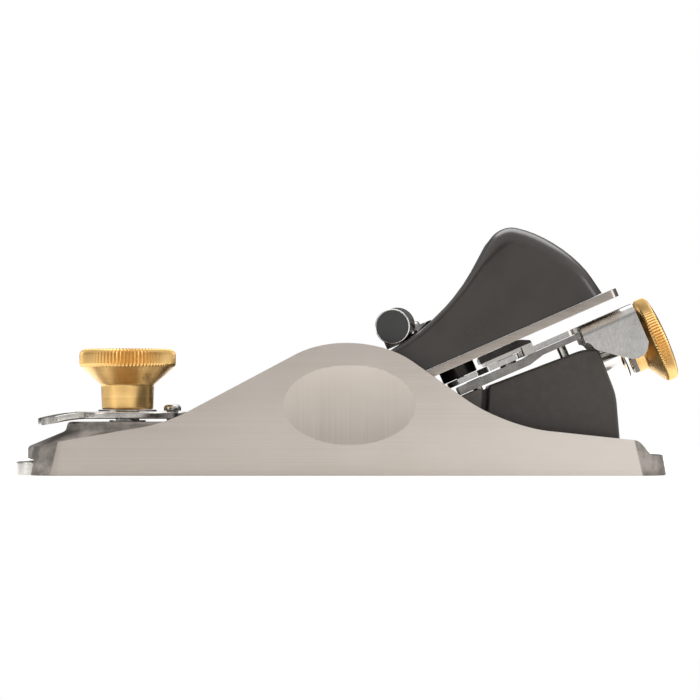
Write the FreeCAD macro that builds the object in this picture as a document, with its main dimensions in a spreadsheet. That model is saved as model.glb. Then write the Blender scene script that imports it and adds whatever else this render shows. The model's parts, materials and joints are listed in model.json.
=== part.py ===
import FreeCAD, Part
import Sketcher
import math
import os

# Low-angle-style block plane with an adjustable mouth, in millimetres.
# Row frame: +X from toe to heel, +Y to the far side, +Z up, the sole on Z = 0.
# X = 0 is half way along the ground sides.
# Bed frame: the cutting edge is the origin, X runs up the cutter, Z stands square off its lower face.

V = FreeCAD.Vector
doc = FreeCAD.newDocument("block_plane")

# driving dimensions
SIZES = [
    ("bed_angle", 23.6, "slope of the cutter"),
    ("edge_x", -34.2, "cutting edge, from the middle of the sole"),
    ("body_width", 50.8, "over the ground sides"),
    ("trough_width", 42.8, "between the wings"),
    ("sole_height", 4.0, "thickness of the sole"),
    ("nose_x", 81.4, "tip of the toe and of the heel, from the middle"),
    ("end_corner_x", 77.6, "corner of the ends before rounding"),
    ("end_corner_r", 8.0, "rounding of the ends seen from above"),
    ("end_draft", 7.0, "how far the ends lean in over the lofted height"),
    ("loft_height", 40.0, "height of the drafted block"),
    ("crown_x", 2.5, "corner above the crown of the wing"),
    ("crown_z", 37.7, "height of that corner"),
    ("crown_r", 27.5, "rounding of the crown"),
    ("toe_rise_x", -44.2, "where the wing starts to rise at the toe"),
    ("toe_rise_z", 12.9, "height there"),
    ("heel_rise_x", 38.6, "where the wing levels out at the heel"),
    ("heel_rise_z", 12.1, "height there"),
    ("heel_end_x", 71.6, "end of the wing at the heel"),
    ("heel_end_z", 8.6, "height there"),
    ("tail_x", 75.0, "start of the low tail"),
    ("tail_z", 4.9, "height of the tail"),
    ("toe_end_z", 6.1, "height of the toe's tip"),
    ("dish_z", 17.3, "middle of the finger dish"),
    ("dish_x", 0.7, "middle of the finger dish"),
    ("dish_half_x", 16.4, "half its length"),
    ("dish_half_z", 9.9, "half its height"),
    ("dish_deep", 1.0, "its depth"),
    ("knob_x", -55.6, "axis of the toe knob"),
    ("boss_r", 15.0, "toe boss"),
    ("boss_z", 13.2, "top of the toe boss"),
    ("toe_wall_x", -40.4, "rear wall of the toe"),
    ("plate_width", 42.0, "mouth plate"),
    ("plate_height", 3.2, "mouth plate"),
    ("plate_front_x", -84.4, "front of the mouth plate"),
    ("plate_rear_x", -35.8, "rear edge of the mouth plate"),
    ("post_half", 8.0, "half width of the adjuster post"),
    ("ledge_z", -7.4, "bed frame: ledge under the depth slide"),
    ("bed_length", 61.0, "bed frame: length of the bed"),
    ("cutter_width", 41.0, "cutter"),
    ("cutter_length", 111.0, "cutter"),
    ("cutter_thick", 2.1, "cutter"),
    ("bevel_length", 4.6, "ground bevel"),
    ("cap_width", 40.4, "lever cap"),
    ("cap_wall", 3.0, "lever cap"),
    ("cap_base", 2.3, "bed frame: underside of the lever cap"),
    ("cap_end", 107.6, "bed frame: rear end of the lever cap"),
    ("cap_screw_x", 40.0, "bed frame: lever cap screw"),
    ("cam_x", 60.0, "bed frame: cam lever pivot"),
    ("cam_top", 11.0, "bed frame: cap face at the cam lever"),
    ("stud_z", -13.8, "bed frame: axis of the depth stud"),
    ("stud_r", 2.9, "depth stud"),
    ("pivot_x", 80.0, "bed frame: lateral lever pivot"),
    ("thread_gap", 0.06, "radial clearance round studs and pins"),
    ("knob_r", 12.2, "toe knob rim"),
    ("wheel_r", 11.0, "depth wheel rim"),
    ("lever_z", 13.9, "underside of the mouth lever"),
    ("lever_thick", 1.8, "mouth lever"),
    ("lever_turn", 20.0, "angle of the mouth lever from straight ahead"),
    ("lobe_reach", 8.6, "middle of the mouth lever's lobe, from the knob's axis"),
    ("lobe_turn", 15.0, "angle of the lobe from the plane's length"),
    ("lobe_r", 7.6, "rounding of the lobe"),
    ("cam_pin_x", -44.2, "pin of the mouth lever's cam slot"),
    ("cam_pitch", 3.0, "growth of the mouth lever's slot for each radian"),
    ("cam_slot", 3.3, "width of that slot"),
    ("guide_front", 70.5, "bed frame: front guide screw"),
    ("guide_rear", 94.0, "bed frame: rear guide screw"),
    ("roller_x", 67.6, "bed frame: lateral roller"),
    ("slide_z", -7.0, "bed frame: underside of the depth slide"),
    ("slide_thick", 2.4, "depth slide"),
    ("slide_half", 7.5, "half width of the depth slide"),
    ("hood_z", -3.0, "bed frame: top of the lateral lever"),
    ("hood_thick", 1.4, "lateral lever's sheet"),
    ("hood_half", 12.0, "half width over the lateral lever's hood"),
    ("cutter_slot", 9.6, "slot in the cutter"),
    ("groove_x", 78.8, "bed frame: first cross groove of the cutter"),
    ("groove_pitch", 2.4, "between the cross grooves"),
    ("cam_turn", 11.0, "angle of the cam lever from square across"),
    ("thumb_r", 4.4, "round end of the cam lever"),
]

sheet = doc.addObject("Spreadsheet::Sheet", "dim")
for row, (alias, number, note) in enumerate(SIZES, start=1):
    sheet.set(f"A{row}", alias.replace("_", " "))
    sheet.set(f"B{row}", str(number))
    sheet.set(f"C{row}", note)
    sheet.setAlias(f"B{row}", alias)
doc.recompute()


def worth(text):
    """The number that an expression on the sheet's cells gives."""
    return float(sheet.evalExpression(str(text)))


# helpers
pieces = []


def piece(label, tilted=False):
    """A PartDesign body; a tilted one is drawn in the bed frame and leaned back by its placement."""
    body = doc.addObject("PartDesign::Body", label)
    body.Label = label
    if tilted:
        lean = FreeCAD.Rotation(V(0, 1, 0), -worth("dim.bed_angle"))
        body.Placement = FreeCAD.Placement(V(worth("dim.edge_x"), 0, 0), lean)
        body.setExpression("Placement.Base.x", "dim.edge_x")
        body.setExpression("Placement.Rotation.Angle", "-dim.bed_angle")
    pieces.append(body)
    return body


def rounded(corners):
    """Lines and arcs round a closed polygon of (x, y, radius), as (kind, data) in order."""
    count = len(corners)
    marks = []
    for i, (x, y, radius) in enumerate(corners):
        here = V(x, y, 0)
        back = V(*corners[i - 1][:2], 0) - here
        ahead = V(*corners[(i + 1) % count][:2], 0) - here
        turn = math.pi - back.getAngle(ahead)
        reach = radius * math.tan(turn / 2)
        start = here + back.normalize() * reach
        end = here + ahead.normalize() * reach
        marks.append((here, start, end, radius))
    return marks


def arc_between(start, end, corner, radius):
    """The arc that touches the two lines meeting at corner, always drawn anticlockwise."""
    middle = (start + end) * 0.5
    outward = corner - middle
    sink = math.sqrt(max(radius ** 2 - ((end - start).Length / 2) ** 2, 0.0))
    centre = middle - outward.normalize() * sink
    if (start - centre).cross(end - centre).z < 0:
        start, end = end, start
    angles = [math.atan2(point.y - centre.y, point.x - centre.x) for point in (start, end)]
    return Part.ArcOfCircle(Part.Circle(centre, V(0, 0, 1), radius), *angles)


def pin_point(sketch, geometry, place, x_text, y_text):
    """Fixes a point of the sketch at two expressions."""
    for kind, text in (("DistanceX", x_text), ("DistanceY", y_text)):
        mark = sketch.addConstraint(Sketcher.Constraint(kind, -1, 1, geometry, place, worth(text)))
        sketch.setExpression(f"Constraints[{mark}]", str(text))


def set_radius(sketch, geometry, text):
    mark = sketch.addConstraint(Sketcher.Constraint("Radius", geometry, worth(text)))
    sketch.setExpression(f"Constraints[{mark}]", str(text))


def outline(sketch, corners):
    """Adds a closed outline. A corner is (x, y) or (x, y, radius), each a number or an expression."""
    corners = [tuple(c) + ("0",) * (3 - len(c)) for c in corners]
    marks = rounded([tuple(worth(part) for part in c) for c in corners])
    count = len(marks)
    lines = []
    for i in range(count):
        lines.append(sketch.addGeometry(Part.LineSegment(marks[i][2], marks[(i + 1) % count][1])))
    for i, (x_text, y_text, r_text) in enumerate(corners):
        before, after = lines[i - 1], lines[i]
        here, start, end, radius = marks[i]
        if radius <= 0:
            sketch.addConstraint(Sketcher.Constraint("Coincident", before, 2, after, 1))
            pin_point(sketch, after, 1, x_text, y_text)
            continue
        arc = arc_between(start, end, here, radius)
        bend = sketch.addGeometry(arc)
        made = sketch.Geometry[bend]
        first, last = (1, 2) if (made.StartPoint - start).Length < (made.EndPoint - start).Length else (2, 1)
        sketch.addConstraint(Sketcher.Constraint("Tangent", before, 2, bend, first))
        sketch.addConstraint(Sketcher.Constraint("Tangent", bend, last, after, 1))
        set_radius(sketch, bend, r_text)
        corner = sketch.addGeometry(Part.Point(here))
        sketch.toggleConstruction(corner)
        sketch.addConstraint(Sketcher.Constraint("PointOnObject", corner, 1, before))
        sketch.addConstraint(Sketcher.Constraint("PointOnObject", corner, 1, after))
        pin_point(sketch, corner, 1, x_text, y_text)


def box_corners(x_low, x_high, half, radius="0"):
    return [
        (x_low, f"-({half})", radius),
        (x_high, f"-({half})", radius),
        (x_high, half, radius),
        (x_low, half, radius),
    ]


def circle(sketch, x_text, y_text, r_text):
    ring = sketch.addGeometry(Part.Circle(V(worth(x_text), worth(y_text), 0), V(0, 0, 1), worth(r_text)))
    pin_point(sketch, ring, 3, x_text, y_text)
    set_radius(sketch, ring, r_text)


def draw(body, name, role, corners=(), circles=(), rise="0", swing="0", shift=("0", "0")):
    """A sketch on one of the body's own planes: lifted off it by rise, shifted in it, and swung round Z."""
    sketch = body.newObject("Sketcher::SketchObject", name)
    plane = [f for f in body.Origin.OriginFeatures if f.Role == role][0]
    sketch.AttachmentSupport = [(plane, "")]
    sketch.MapMode = "FlatFace"
    up = V(0, 1, 0) if role == "XZ_Plane" else V(0, 0, 1)
    sketch.AttachmentOffset = FreeCAD.Placement(V(), FreeCAD.Rotation(up, worth(swing)))
    for axis, text in zip("xyz", (*shift, rise)):
        sketch.setExpression(f"AttachmentOffset.Base.{axis}", text)
    if swing != "0":
        sketch.setExpression("AttachmentOffset.Rotation.Angle", swing)
    if corners:
        outline(sketch, corners)
    for ring in circles:
        circle(sketch, *ring)
    sketch.Visibility = False
    return sketch


def along(distance, height):
    """Row-frame expressions of a point given in the bed frame."""
    x = f"dim.edge_x + ({distance}) * cos(dim.bed_angle) - ({height}) * sin(dim.bed_angle)"
    z = f"({distance}) * sin(dim.bed_angle) + ({height}) * cos(dim.bed_angle)"
    return x, z


def draw_on_bed(body, name, role, distance, height, circles):
    """A sketch square to the bed's slope: on the bed (XY_Plane) or facing up along it (YZ_Plane)."""
    sketch = draw(body, name, role, circles=circles)
    x, z = along(distance, height)
    if role == "XY_Plane":
        base, turn = {"x": x, "z": z}, V(0, 1, 0)
    else:
        base, turn = {"z": x, "y": z}, V(1, 0, 0)
    sketch.AttachmentOffset = FreeCAD.Placement(V(), FreeCAD.Rotation(turn, -worth("dim.bed_angle")))
    for axis, text in base.items():
        sketch.setExpression(f"AttachmentOffset.Base.{axis}", text)
    sketch.setExpression("AttachmentOffset.Rotation.Angle", "-dim.bed_angle")
    return sketch


def grow(body, kind, name, profile, adds=True, **settings):
    """Adds a feature, sets it, and stops if it doesn't add or take away material as it should."""
    before = body.Shape.Volume if body.Tip else 0.0
    feature = body.newObject(kind, name)
    if profile is not None:
        feature.Profile = profile
    for key, value in settings.items():
        if key == "length":
            feature.Length = worth(value)
            feature.setExpression("Length", str(value))
        else:
            setattr(feature, key, value)
    doc.recompute()
    body.Tip = feature
    doc.recompute()
    change = body.Shape.Volume - before
    if (adds and change <= 0) or (not adds and change >= 0):
        raise RuntimeError(f"{body.Label}: {name} changed the volume by {change:.3f}")
    return feature


def pad(body, name, sketch, length, **more):
    return grow(body, "PartDesign::Pad", name, sketch, length=length, **more)


def cut(body, name, sketch, length, **more):
    return grow(body, "PartDesign::Pocket", name, sketch, adds=False, length=length, **more)


def cut_through(body, name, sketch, **more):
    through = dict(Type="ThroughAll", Midplane=True)
    return grow(body, "PartDesign::Pocket", name, sketch, adds=False, **through, **more)


def edges_where(body, test):
    """Names of the edges of the body's tip whose middle point passes the test."""
    found = []
    for i, edge in enumerate(body.Tip.Shape.Edges, start=1):
        middle = edge.valueAt((edge.FirstParameter + edge.LastParameter) / 2)
        if test(middle, edge):
            found.append(f"Edge{i}")
    return found


def dress(body, kind, name, size_text, test):
    """A fillet or chamfer on the edges that pass the test."""
    chosen = edges_where(body, test)
    if not chosen:
        raise RuntimeError(f"{body.Label}: {name} finds no edge")
    base = body.Tip
    feature = body.newObject(f"PartDesign::{kind}", name)
    feature.Base = (base, chosen)
    prop = "Radius" if kind == "Fillet" else "Size"
    setattr(feature, prop, worth(size_text))
    feature.setExpression(prop, str(size_text))
    doc.recompute()
    body.Tip = feature
    doc.recompute()
    if "Invalid" in feature.State or "Error" in feature.State or feature.Shape.isNull():
        raise RuntimeError(f"{body.Label}: {name} failed")
    return feature


# body casting
def wing_top(low_z):
    """The region above the wings, seen from the side; the toe and heel ends run out past the casting."""
    return [
        ("-100", "dim.toe_end_z - 3.2"),
        ("-70.2", "8.4", "3"),
        ("dim.toe_rise_x", "dim.toe_rise_z", "35"),
        ("dim.crown_x", "dim.crown_z", "dim.crown_r"),
        ("dim.heel_rise_x", "dim.heel_rise_z", "42"),
        ("dim.heel_end_x", "dim.heel_end_z", "2.4"),
        ("dim.tail_x", "dim.tail_z", "1.6"),
        ("100", low_z),
        ("100", "60"),
        ("-100", "60"),
    ]


def end_outline(lean):
    """The casting seen from above; lean draws its ends in."""
    tip, corner = f"dim.nose_x - {lean}", f"dim.end_corner_x - {lean}"
    half = "(dim.body_width / 2 + 0.05)"
    return [
        (f"-({tip})", "0", "60"),
        (f"-({corner})", f"-{half}", "dim.end_corner_r"),
        (f"{corner}", f"-{half}", "dim.end_corner_r"),
        (f"{tip}", "0", "60"),
        (f"{corner}", half, "dim.end_corner_r"),
        (f"-({corner})", half, "dim.end_corner_r"),
    ]


def add_casting():
    body = piece("body_casting")
    foot = draw(body, "foot_outline", "XY_Plane", end_outline("0"))
    head = draw(body, "head_outline", "XY_Plane", end_outline("dim.end_draft"), rise="dim.loft_height")
    grow(body, "PartDesign::AdditiveLoft", "drafted_block", foot, Sections=[head], Ruled=True)
    for name, near, far in (("near", "-30", "-dim.body_width / 2"), ("far", "dim.body_width / 2", "30")):
        strip = [("-90", near), ("90", near), ("90", far), ("-90", far)]
        grind = draw(body, f"{name}_grind_outline", "XY_Plane", strip, rise="-1")
        cut(body, f"{name}_side_ground", grind, "50", Reversed=True)
    above = draw(body, "wing_outline", "XZ_Plane", wing_top("dim.tail_z"))
    cut_through(body, "wing_tops", above)

    boss = draw(body, "boss_outline", "XZ_Plane", [
        ("dim.knob_x", "3.95"),
        ("dim.knob_x - 25.1", "3.95"),
        ("dim.knob_x - 25.1", "6.9", "1"),
        ("dim.knob_x - dim.boss_r - 0.5", "10.9", "0.8"),
        ("dim.knob_x - dim.boss_r", "dim.boss_z", "0.7"),
        ("dim.knob_x", "dim.boss_z"),
    ])
    axis = draw(body, "boss_axis", "XZ_Plane")
    spine = axis.addGeometry(Part.LineSegment(V(worth("dim.knob_x"), 0, 0), V(worth("dim.knob_x"), 20, 0)))
    pin_point(axis, spine, 1, "dim.knob_x", "0")
    pin_point(axis, spine, 2, "dim.knob_x", "20")
    grow(body, "PartDesign::Revolution", "toe_boss", boss, ReferenceAxis=(axis, ["Edge1"]), Angle=360.0)

    side = "dim.trough_width / 2"
    trough = [
        ("dim.toe_wall_x", f"-{side}", "2"),
        ("73", f"-{side}", "6"),
        ("73", side, "6"),
        ("dim.toe_wall_x", side, "2"),
    ]
    floor = draw(body, "trough_outline", "XY_Plane", trough, rise="dim.sole_height")
    cut(body, "trough", floor, "60", Reversed=True)

    opening = draw(body, "mouth_outline", "XY_Plane", [
        ("dim.toe_wall_x", "-(dim.plate_width / 2 + 0.1)"),
        ("dim.edge_x + 0.5", "-(dim.plate_width / 2 + 0.1)"),
        ("dim.edge_x + 0.5", "dim.plate_width / 2 + 0.1"),
        ("dim.toe_wall_x", "dim.plate_width / 2 + 0.1"),
    ])
    cut(body, "mouth_opening", opening, "5", Reversed=True)
    above_toe = draw(body, "toe_clearance_outline", "XY_Plane",
                     box_corners("-52", "dim.toe_wall_x + 1", side), rise="dim.boss_z")
    cut(body, "toe_clearance", above_toe, "30", Reversed=True)

    ramp = draw(body, "ramp_outline", "XZ_Plane", [
        along("3.6", "-0.05"),
        along("dim.bed_length", "-0.05"),
        (*along("dim.bed_length + 1.2", "dim.ledge_z"), "2.2"),
        along("dim.bed_length + 9.6", "dim.ledge_z"),
        ("31.9", "3"),
        ("dim.edge_x + 2.6", "3"),
        ("dim.edge_x + 2.6", "0.9"),
    ])
    pad(body, "bed_ramp", ramp, "dim.trough_width + 0.6", Midplane=True)
    web = draw(body, "web_outline", "XZ_Plane", [
        ("30", "3"),
        ("37", "3"),
        ("37", "22.2"),
        ("30", "19.4"),
    ])
    pad(body, "post_web", web, "7", Midplane=True)
    post = draw(body, "post_outline", "XZ_Plane", [
        ("34.4", "3"),
        ("35.6", "22.2", "0.8"),
        ("59.3", "31.2", "1.5"),
        ("63.2", "31.6", "1.2"),
        ("67.7", "20", "14"),
        ("69.1", "3"),
    ])
    pad(body, "adjuster_post", post, "dim.post_half * 2", Midplane=True)

    above_bed = draw(body, "above_bed_outline", "XZ_Plane", [
        along("-3", "-0.05"),
        along("20", "-0.05"),
        along("20", "6"),
        along("-3", "6"),
    ])
    cut(body, "above_bed", above_bed, "dim.trough_width", Midplane=True)
    channel = draw(body, "plate_channel", "XY_Plane", [
        ("-100", "-(dim.plate_width / 2 + 0.1)"),
        ("dim.edge_x + 0.5", "-(dim.plate_width / 2 + 0.1)"),
        ("dim.edge_x + 0.5", "dim.plate_width / 2 + 0.1"),
        ("-100", "dim.plate_width / 2 + 0.1"),
    ])
    cut(body, "mouth_and_plate_channel", channel, "3.9", Reversed=True)
    slot = draw(body, "stud_slot_outline", "XY_Plane", [
        ("dim.knob_x - 7.2", "-4.7", "4.69"),
        ("dim.knob_x + 6.2", "-4.7", "4.69"),
        ("dim.knob_x + 6.2", "4.7", "4.69"),
        ("dim.knob_x - 7.2", "4.7", "4.69"),
    ])
    cut_through(body, "stud_slot", slot)
    pin_hole = draw(body, "cam_pin_hole", "XY_Plane",
                    circles=[("dim.cam_pin_x", "0", "1.8 + dim.thread_gap")], rise="7")
    cut(body, "cam_pin_seat", pin_hole, "30", Reversed=True)

    for name, sign in (("near", "-"), ("far", "")):
        add_dish(body, name, sign)
    drill_bed_holes(body)
    return body


def add_dish(body, name, sign):
    """A shallow finger dish, as a wheel with a round rim would grind it."""
    depth, half_x, half_z = (worth(f"dim.{n}") for n in ("dish_deep", "dish_half_x", "dish_half_z"))
    rim = (half_x ** 2 + depth ** 2) / (2 * depth)
    wheel = (half_z ** 2 + depth ** 2) / (2 * depth)
    face = worth("dim.body_width / 2")
    flip = -1 if sign == "-" else 1
    bottom = flip * (face - depth)
    x, z = worth("dim.dish_x"), worth("dim.dish_z")
    sketch = draw(body, f"{name}_dish_outline", "XY_Plane", rise="dim.dish_z")
    reach = half_x + 2.0
    swell = flip * (rim - math.sqrt(rim ** 2 - reach ** 2))
    left, right = V(x - reach, bottom + swell, 0), V(x + reach, bottom + swell, 0)
    lift = flip * 6.0
    bow = sketch.addGeometry(Part.Arc(left, V(x, bottom, 0), right))
    sides = [
        (right, V(x + reach, bottom + lift, 0)),
        (V(x + reach, bottom + lift, 0), V(x - reach, bottom + lift, 0)),
        (V(x - reach, bottom + lift, 0), left),
    ]
    for start, end in sides:
        sketch.addGeometry(Part.LineSegment(start, end))
    sketch.addConstraint(Sketcher.Constraint("Block", bow))
    axle = draw(body, f"{name}_dish_axle", "XY_Plane", rise="dim.dish_z")
    far = bottom + flip * wheel
    axle.addGeometry(Part.LineSegment(V(x - 30, far, 0), V(x + 30, far, 0)))
    grow(body, "PartDesign::Groove", f"{name}_finger_dish", sketch, adds=False,
         ReferenceAxis=(axle, ["Edge1"]), Angle=60.0, Midplane=True)


def drill_bed_holes(body):
    """Tapped holes square to the bed, and the depth stud's hole along it."""
    holes = [
        ("cap_screw_hole", "XY_Plane", "dim.cap_screw_x", "0.2", "3.0", "13.2"),
        ("front_guide_hole", "XY_Plane", "dim.guide_front", "dim.ledge_z + 0.2", "1.2", "3.4"),
        ("rear_guide_hole", "XY_Plane", "dim.guide_rear", "-6", "1.2", "4.6"),
        ("stud_hole", "YZ_Plane", "112", "dim.stud_z", "dim.stud_r", "28"),
    ]
    for name, role, distance, height, radius, deep in holes:
        ring = ("0", "0", f"{radius} + dim.thread_gap")
        sketch = draw_on_bed(body, name + "_outline", role, distance, height, [ring])
        cut(body, name, sketch, deep)


# turned pieces
def turned(label, profile, where, distance="0"):
    """A body turned about its own Z axis from (radius, height, rounding) points, stood where it belongs."""
    body = piece(label)
    if where == "row":
        base = {"x": distance}
        turn = "0"
    elif where == "bed":
        base = dict(zip("xz", along(distance, "0")))
        turn = "-dim.bed_angle"
    else:
        base = dict(zip("xz", along("0", "dim.stud_z")))
        turn = "90 - dim.bed_angle"
    body.Placement = FreeCAD.Placement(V(), FreeCAD.Rotation(V(0, 1, 0), worth(turn) or 1e-9))
    for axis, text in base.items():
        body.setExpression(f"Placement.Base.{axis}", text)
    if turn != "0":
        body.setExpression("Placement.Rotation.Angle", turn)
    else:
        body.Placement = FreeCAD.Placement(V(worth(distance), 0, 0), FreeCAD.Rotation())
    half = draw(body, label + "_half", "XZ_Plane", profile)
    spin = [f for f in body.Origin.OriginFeatures if f.Role == "Z_Axis"][0]
    grow(body, "PartDesign::Revolution", label + "_turned", half, ReferenceAxis=(spin, [""]), Angle=360.0)
    return body


def driver_slot(body, name, reach, top, deep, width="1"):
    """A screwdriver slot across the head."""
    slot = draw(body, name, "XY_Plane", [
        (f"-{reach}", f"-{width} / 2"),
        (reach, f"-{width} / 2"),
        (reach, f"{width} / 2"),
        (f"-{reach}", f"{width} / 2"),
    ], rise=top)
    cut(body, name + "_cut", slot, deep)


def add_turned_pieces():
    turned("adjuster_stud", [
        ("0", "88"), ("dim.stud_r", "88"), ("dim.stud_r", "117", "0.6"), ("0", "117"),
    ], "stud")
    turned("throat_cam_pin", [
        ("0", "7.1"), ("1.5", "7.1"), ("1.5", "15.95"), ("2.2", "15.95"), ("2.2", "17.5", "1"), ("0", "17.5"),
    ], "row", "dim.cam_pin_x")
    turned("knob_stud", [
        ("0", "1"), ("4.6", "1"), ("4.6", "13.6"), ("3", "13.6"), ("3", "26", "0.6"), ("0", "26"),
    ], "row", "dim.knob_x")
    turned("knob_washer", [
        ("3.1", "15.8"), ("7.4", "15.8"), ("7.4", "16.25", "0.2"), ("3.1", "16.25"),
    ], "row", "dim.knob_x")
    turned("throat_knob", [
        ("3 + dim.thread_gap", "16.3"),
        ("6.6", "16.3", "0.3"),
        ("6.8", "22.5", "1.2"),
        ("dim.knob_r - 0.5", "26.9", "0.4"),
        ("dim.knob_r", "27.7", "0.3"),
        ("dim.knob_r", "31.55", "1.5"),
        ("0", "31.7"),
        ("0", "26.4"),
        ("3 + dim.thread_gap", "26.4"),
    ], "row", "dim.knob_x")
    for name, distance in (("guide_screw_front", "dim.guide_front"), ("guide_screw_rear", "dim.guide_rear")):
        screw = turned(name, [
            ("0", "-10.4"), ("1.2", "-10.4"), ("1.2", "-5.9"),
            ("2.1", "-5.9"), ("2.1", "-4.75", "0.2"), ("0", "-4.75"),
        ], "bed", distance)
        driver_slot(screw, name + "_slot", "3", "-4.75", "0.5", "0.6")
    turned("lever_rivet", [
        ("0", "-6.9"), ("3.2", "-6.9", "0.2"), ("3.2", "-6.2"),
        ("2.2", "-6.2"), ("2.2", "-0.6"), ("0", "-0.6"),
    ], "bed", "dim.pivot_x")
    turned("lateral_roller", [
        ("1.06", "-2.85"), ("4.6", "-2.85", "0.2"), ("4.6", "1.2", "0.4"), ("1.06", "1.2"),
    ], "bed", "dim.roller_x")
    screw = turned("cap_screw", [
        ("0", "-12"),
        ("3", "-12", "0.5"),
        ("3", "8.1"),
        ("5.4", "8.1", "0.2"),
        ("5.4", "9.2", "0.5"),
        ("3.4", "10.1", "1.5"),
        ("0", "10.25"),
    ], "bed", "dim.cap_screw_x")
    driver_slot(screw, "cap_screw_slot", "7", "10.3", "1.1", "1.1")
    turned("cam_rivet", [
        ("0", "6.0"), ("2.4", "6.0"), ("2.4", "13.6"), ("3.6", "13.6"), ("3.6", "14.7", "0.7"), ("0", "14.7"),
    ], "bed", "dim.cam_x")
    turned("adjusting_wheel", [
        ("dim.stud_r + dim.thread_gap", "107"),
        ("4.2", "107"),
        ("4.2", "109.4"),
        ("6", "109.4", "0.3"),
        ("6.2", "112.4", "1"),
        ("dim.wheel_r - 0.6", "115", "0.4"),
        ("dim.wheel_r", "115.7", "0.3"),
        ("dim.wheel_r", "118.2", "0.6"),
        ("dim.wheel_r - 2.2", "118.8", "1"),
        ("dim.stud_r + dim.thread_gap", "118.9"),
    ], "stud")
    turned("wheel_collar", [
        ("4.23", "107"), ("6.5", "107", "0.3"), ("6.5", "108.2", "0.2"), ("4.23", "108.2"),
    ], "stud")


# mouth pieces
def add_throat_plate():
    body = piece("throat_plate")
    half = "dim.plate_width / 2"
    blank = draw(body, "plate_outline", "XY_Plane", [
        ("dim.plate_front_x", "0", "60"),
        ("dim.plate_front_x + 3.6", f"-{half}", "4"),
        ("dim.plate_rear_x", f"-{half}"),
        ("dim.plate_rear_x", half),
        ("dim.plate_front_x + 3.6", half, "4"),
    ])
    pad(body, "plate_blank", blank, "dim.plate_height")
    relief = draw(body, "mouth_relief", "XZ_Plane", [
        ("dim.plate_rear_x - 3.2", "dim.plate_height + 0.1"),
        ("dim.plate_rear_x + 0.1", "1.1"),
        ("dim.plate_rear_x + 2", "1.1"),
        ("dim.plate_rear_x + 2", "dim.plate_height + 0.1"),
    ])
    cut_through(body, "mouth_bevel", relief)
    seat = draw(body, "stud_seat", "XY_Plane", circles=[("dim.knob_x", "0", "4.62")], rise="0.97")
    cut(body, "stud_hole", seat, "6", Reversed=True)
    return body


def add_throat_lever():
    body = piece("throat_lever")
    swing = FreeCAD.Rotation(V(0, 0, 1), worth("dim.lever_turn"))
    body.Placement = FreeCAD.Placement(V(worth("dim.knob_x"), 0, 0), swing)
    body.setExpression("Placement.Base.x", "dim.knob_x")
    body.setExpression("Placement.Rotation.Angle", "dim.lever_turn")
    disc = draw(body, "lever_disc_outline", "XY_Plane", circles=[("0", "0", "13.6")], rise="dim.lever_z")
    pad(body, "lever_disc", disc, "dim.lever_thick")
    reach, turn = "dim.lobe_reach", "dim.lever_turn - dim.lobe_turn"
    lobe = draw(body, "lever_lobe_outline", "XY_Plane",
                circles=[(f"{reach} * cos({turn})", f"-{reach} * sin({turn})", "dim.lobe_r")],
                rise="dim.lever_z")
    pad(body, "lever_lobe", lobe, "dim.lever_thick")
    arm = draw(body, "lever_arm_outline", "XZ_Plane", [
        ("-8", "dim.lever_z"),
        ("-8", "dim.lever_z + dim.lever_thick"),
        ("-15", "dim.lever_z + dim.lever_thick", "5"),
        ("-22.9", "dim.lever_z + 0.3"),
        ("-22.9", "dim.lever_z - 1.7"),
        ("-15.6", "dim.lever_z", "4"),
    ])
    pad(body, "lever_arm", arm, "9.6", Midplane=True)
    rim = draw(body, "lever_tip_outline", "XY_Plane", [
        ("-30", "-9"),
        ("-17", "-9"),
        ("-17", "-4.8"),
        ("-22.9", "-4.8", "4"),
        ("-22.9", "4.8", "4"),
        ("-17", "4.8"),
        ("-17", "9"),
        ("-30", "9"),
    ], rise="dim.lever_z - 4")
    cut(body, "lever_tip", rim, "9", Reversed=True)
    bore = draw(body, "lever_bore_outline", "XY_Plane", circles=[("0", "0", "3.08")], rise="dim.lever_z - 1")
    cut(body, "lever_bore", bore, "6", Reversed=True)
    add_cam_slot(body)
    return body


def add_cam_slot(body):
    """The curved slot round the pin: its distance from the knob grows by cam_pitch for each radian."""
    reach = worth("dim.cam_pin_x - dim.knob_x")
    pitch = worth("dim.cam_pitch")
    slant = math.hypot(reach, pitch)
    bend = slant ** 3 / (reach ** 2 + 2 * pitch ** 2)
    turn = math.radians(-worth("dim.lever_turn"))
    outward = V(math.cos(turn), math.sin(turn), 0)
    sideways = V(-math.sin(turn), math.cos(turn), 0)
    centre = outward * (reach - bend * reach / slant) + sideways * (bend * pitch / slant)
    rest = outward * reach - centre
    middle = math.degrees(math.atan2(rest.y, rest.x)) + 1.2
    half_turn = 27.5
    half = draw(body, "cam_slot_half", "XZ_Plane", [
        (f"{bend} - dim.cam_slot / 2", "dim.lever_z - 0.5"),
        (f"{bend} + dim.cam_slot / 2", "dim.lever_z - 0.5"),
        (f"{bend} + dim.cam_slot / 2", "dim.lever_z + 2.5"),
        (f"{bend} - dim.cam_slot / 2", "dim.lever_z + 2.5"),
    ], rise=f"{-centre.y}", swing=f"{middle}", shift=(f"{centre.x}", "0"))
    grow(body, "PartDesign::Groove", "cam_slot", half, adds=False,
         ReferenceAxis=(half, ["V_Axis"]), Angle=2 * half_turn, Midplane=True)
    ends = []
    for angle in (middle - half_turn, middle + half_turn):
        x = centre.x + bend * math.cos(math.radians(angle))
        y = centre.y + bend * math.sin(math.radians(angle))
        ends.append((str(x), str(y), "dim.cam_slot / 2"))
    rounds = draw(body, "cam_slot_ends", "XY_Plane", circles=ends, rise="dim.lever_z - 1")
    cut(body, "cam_slot_rounds", rounds, "4", Reversed=True)


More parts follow.
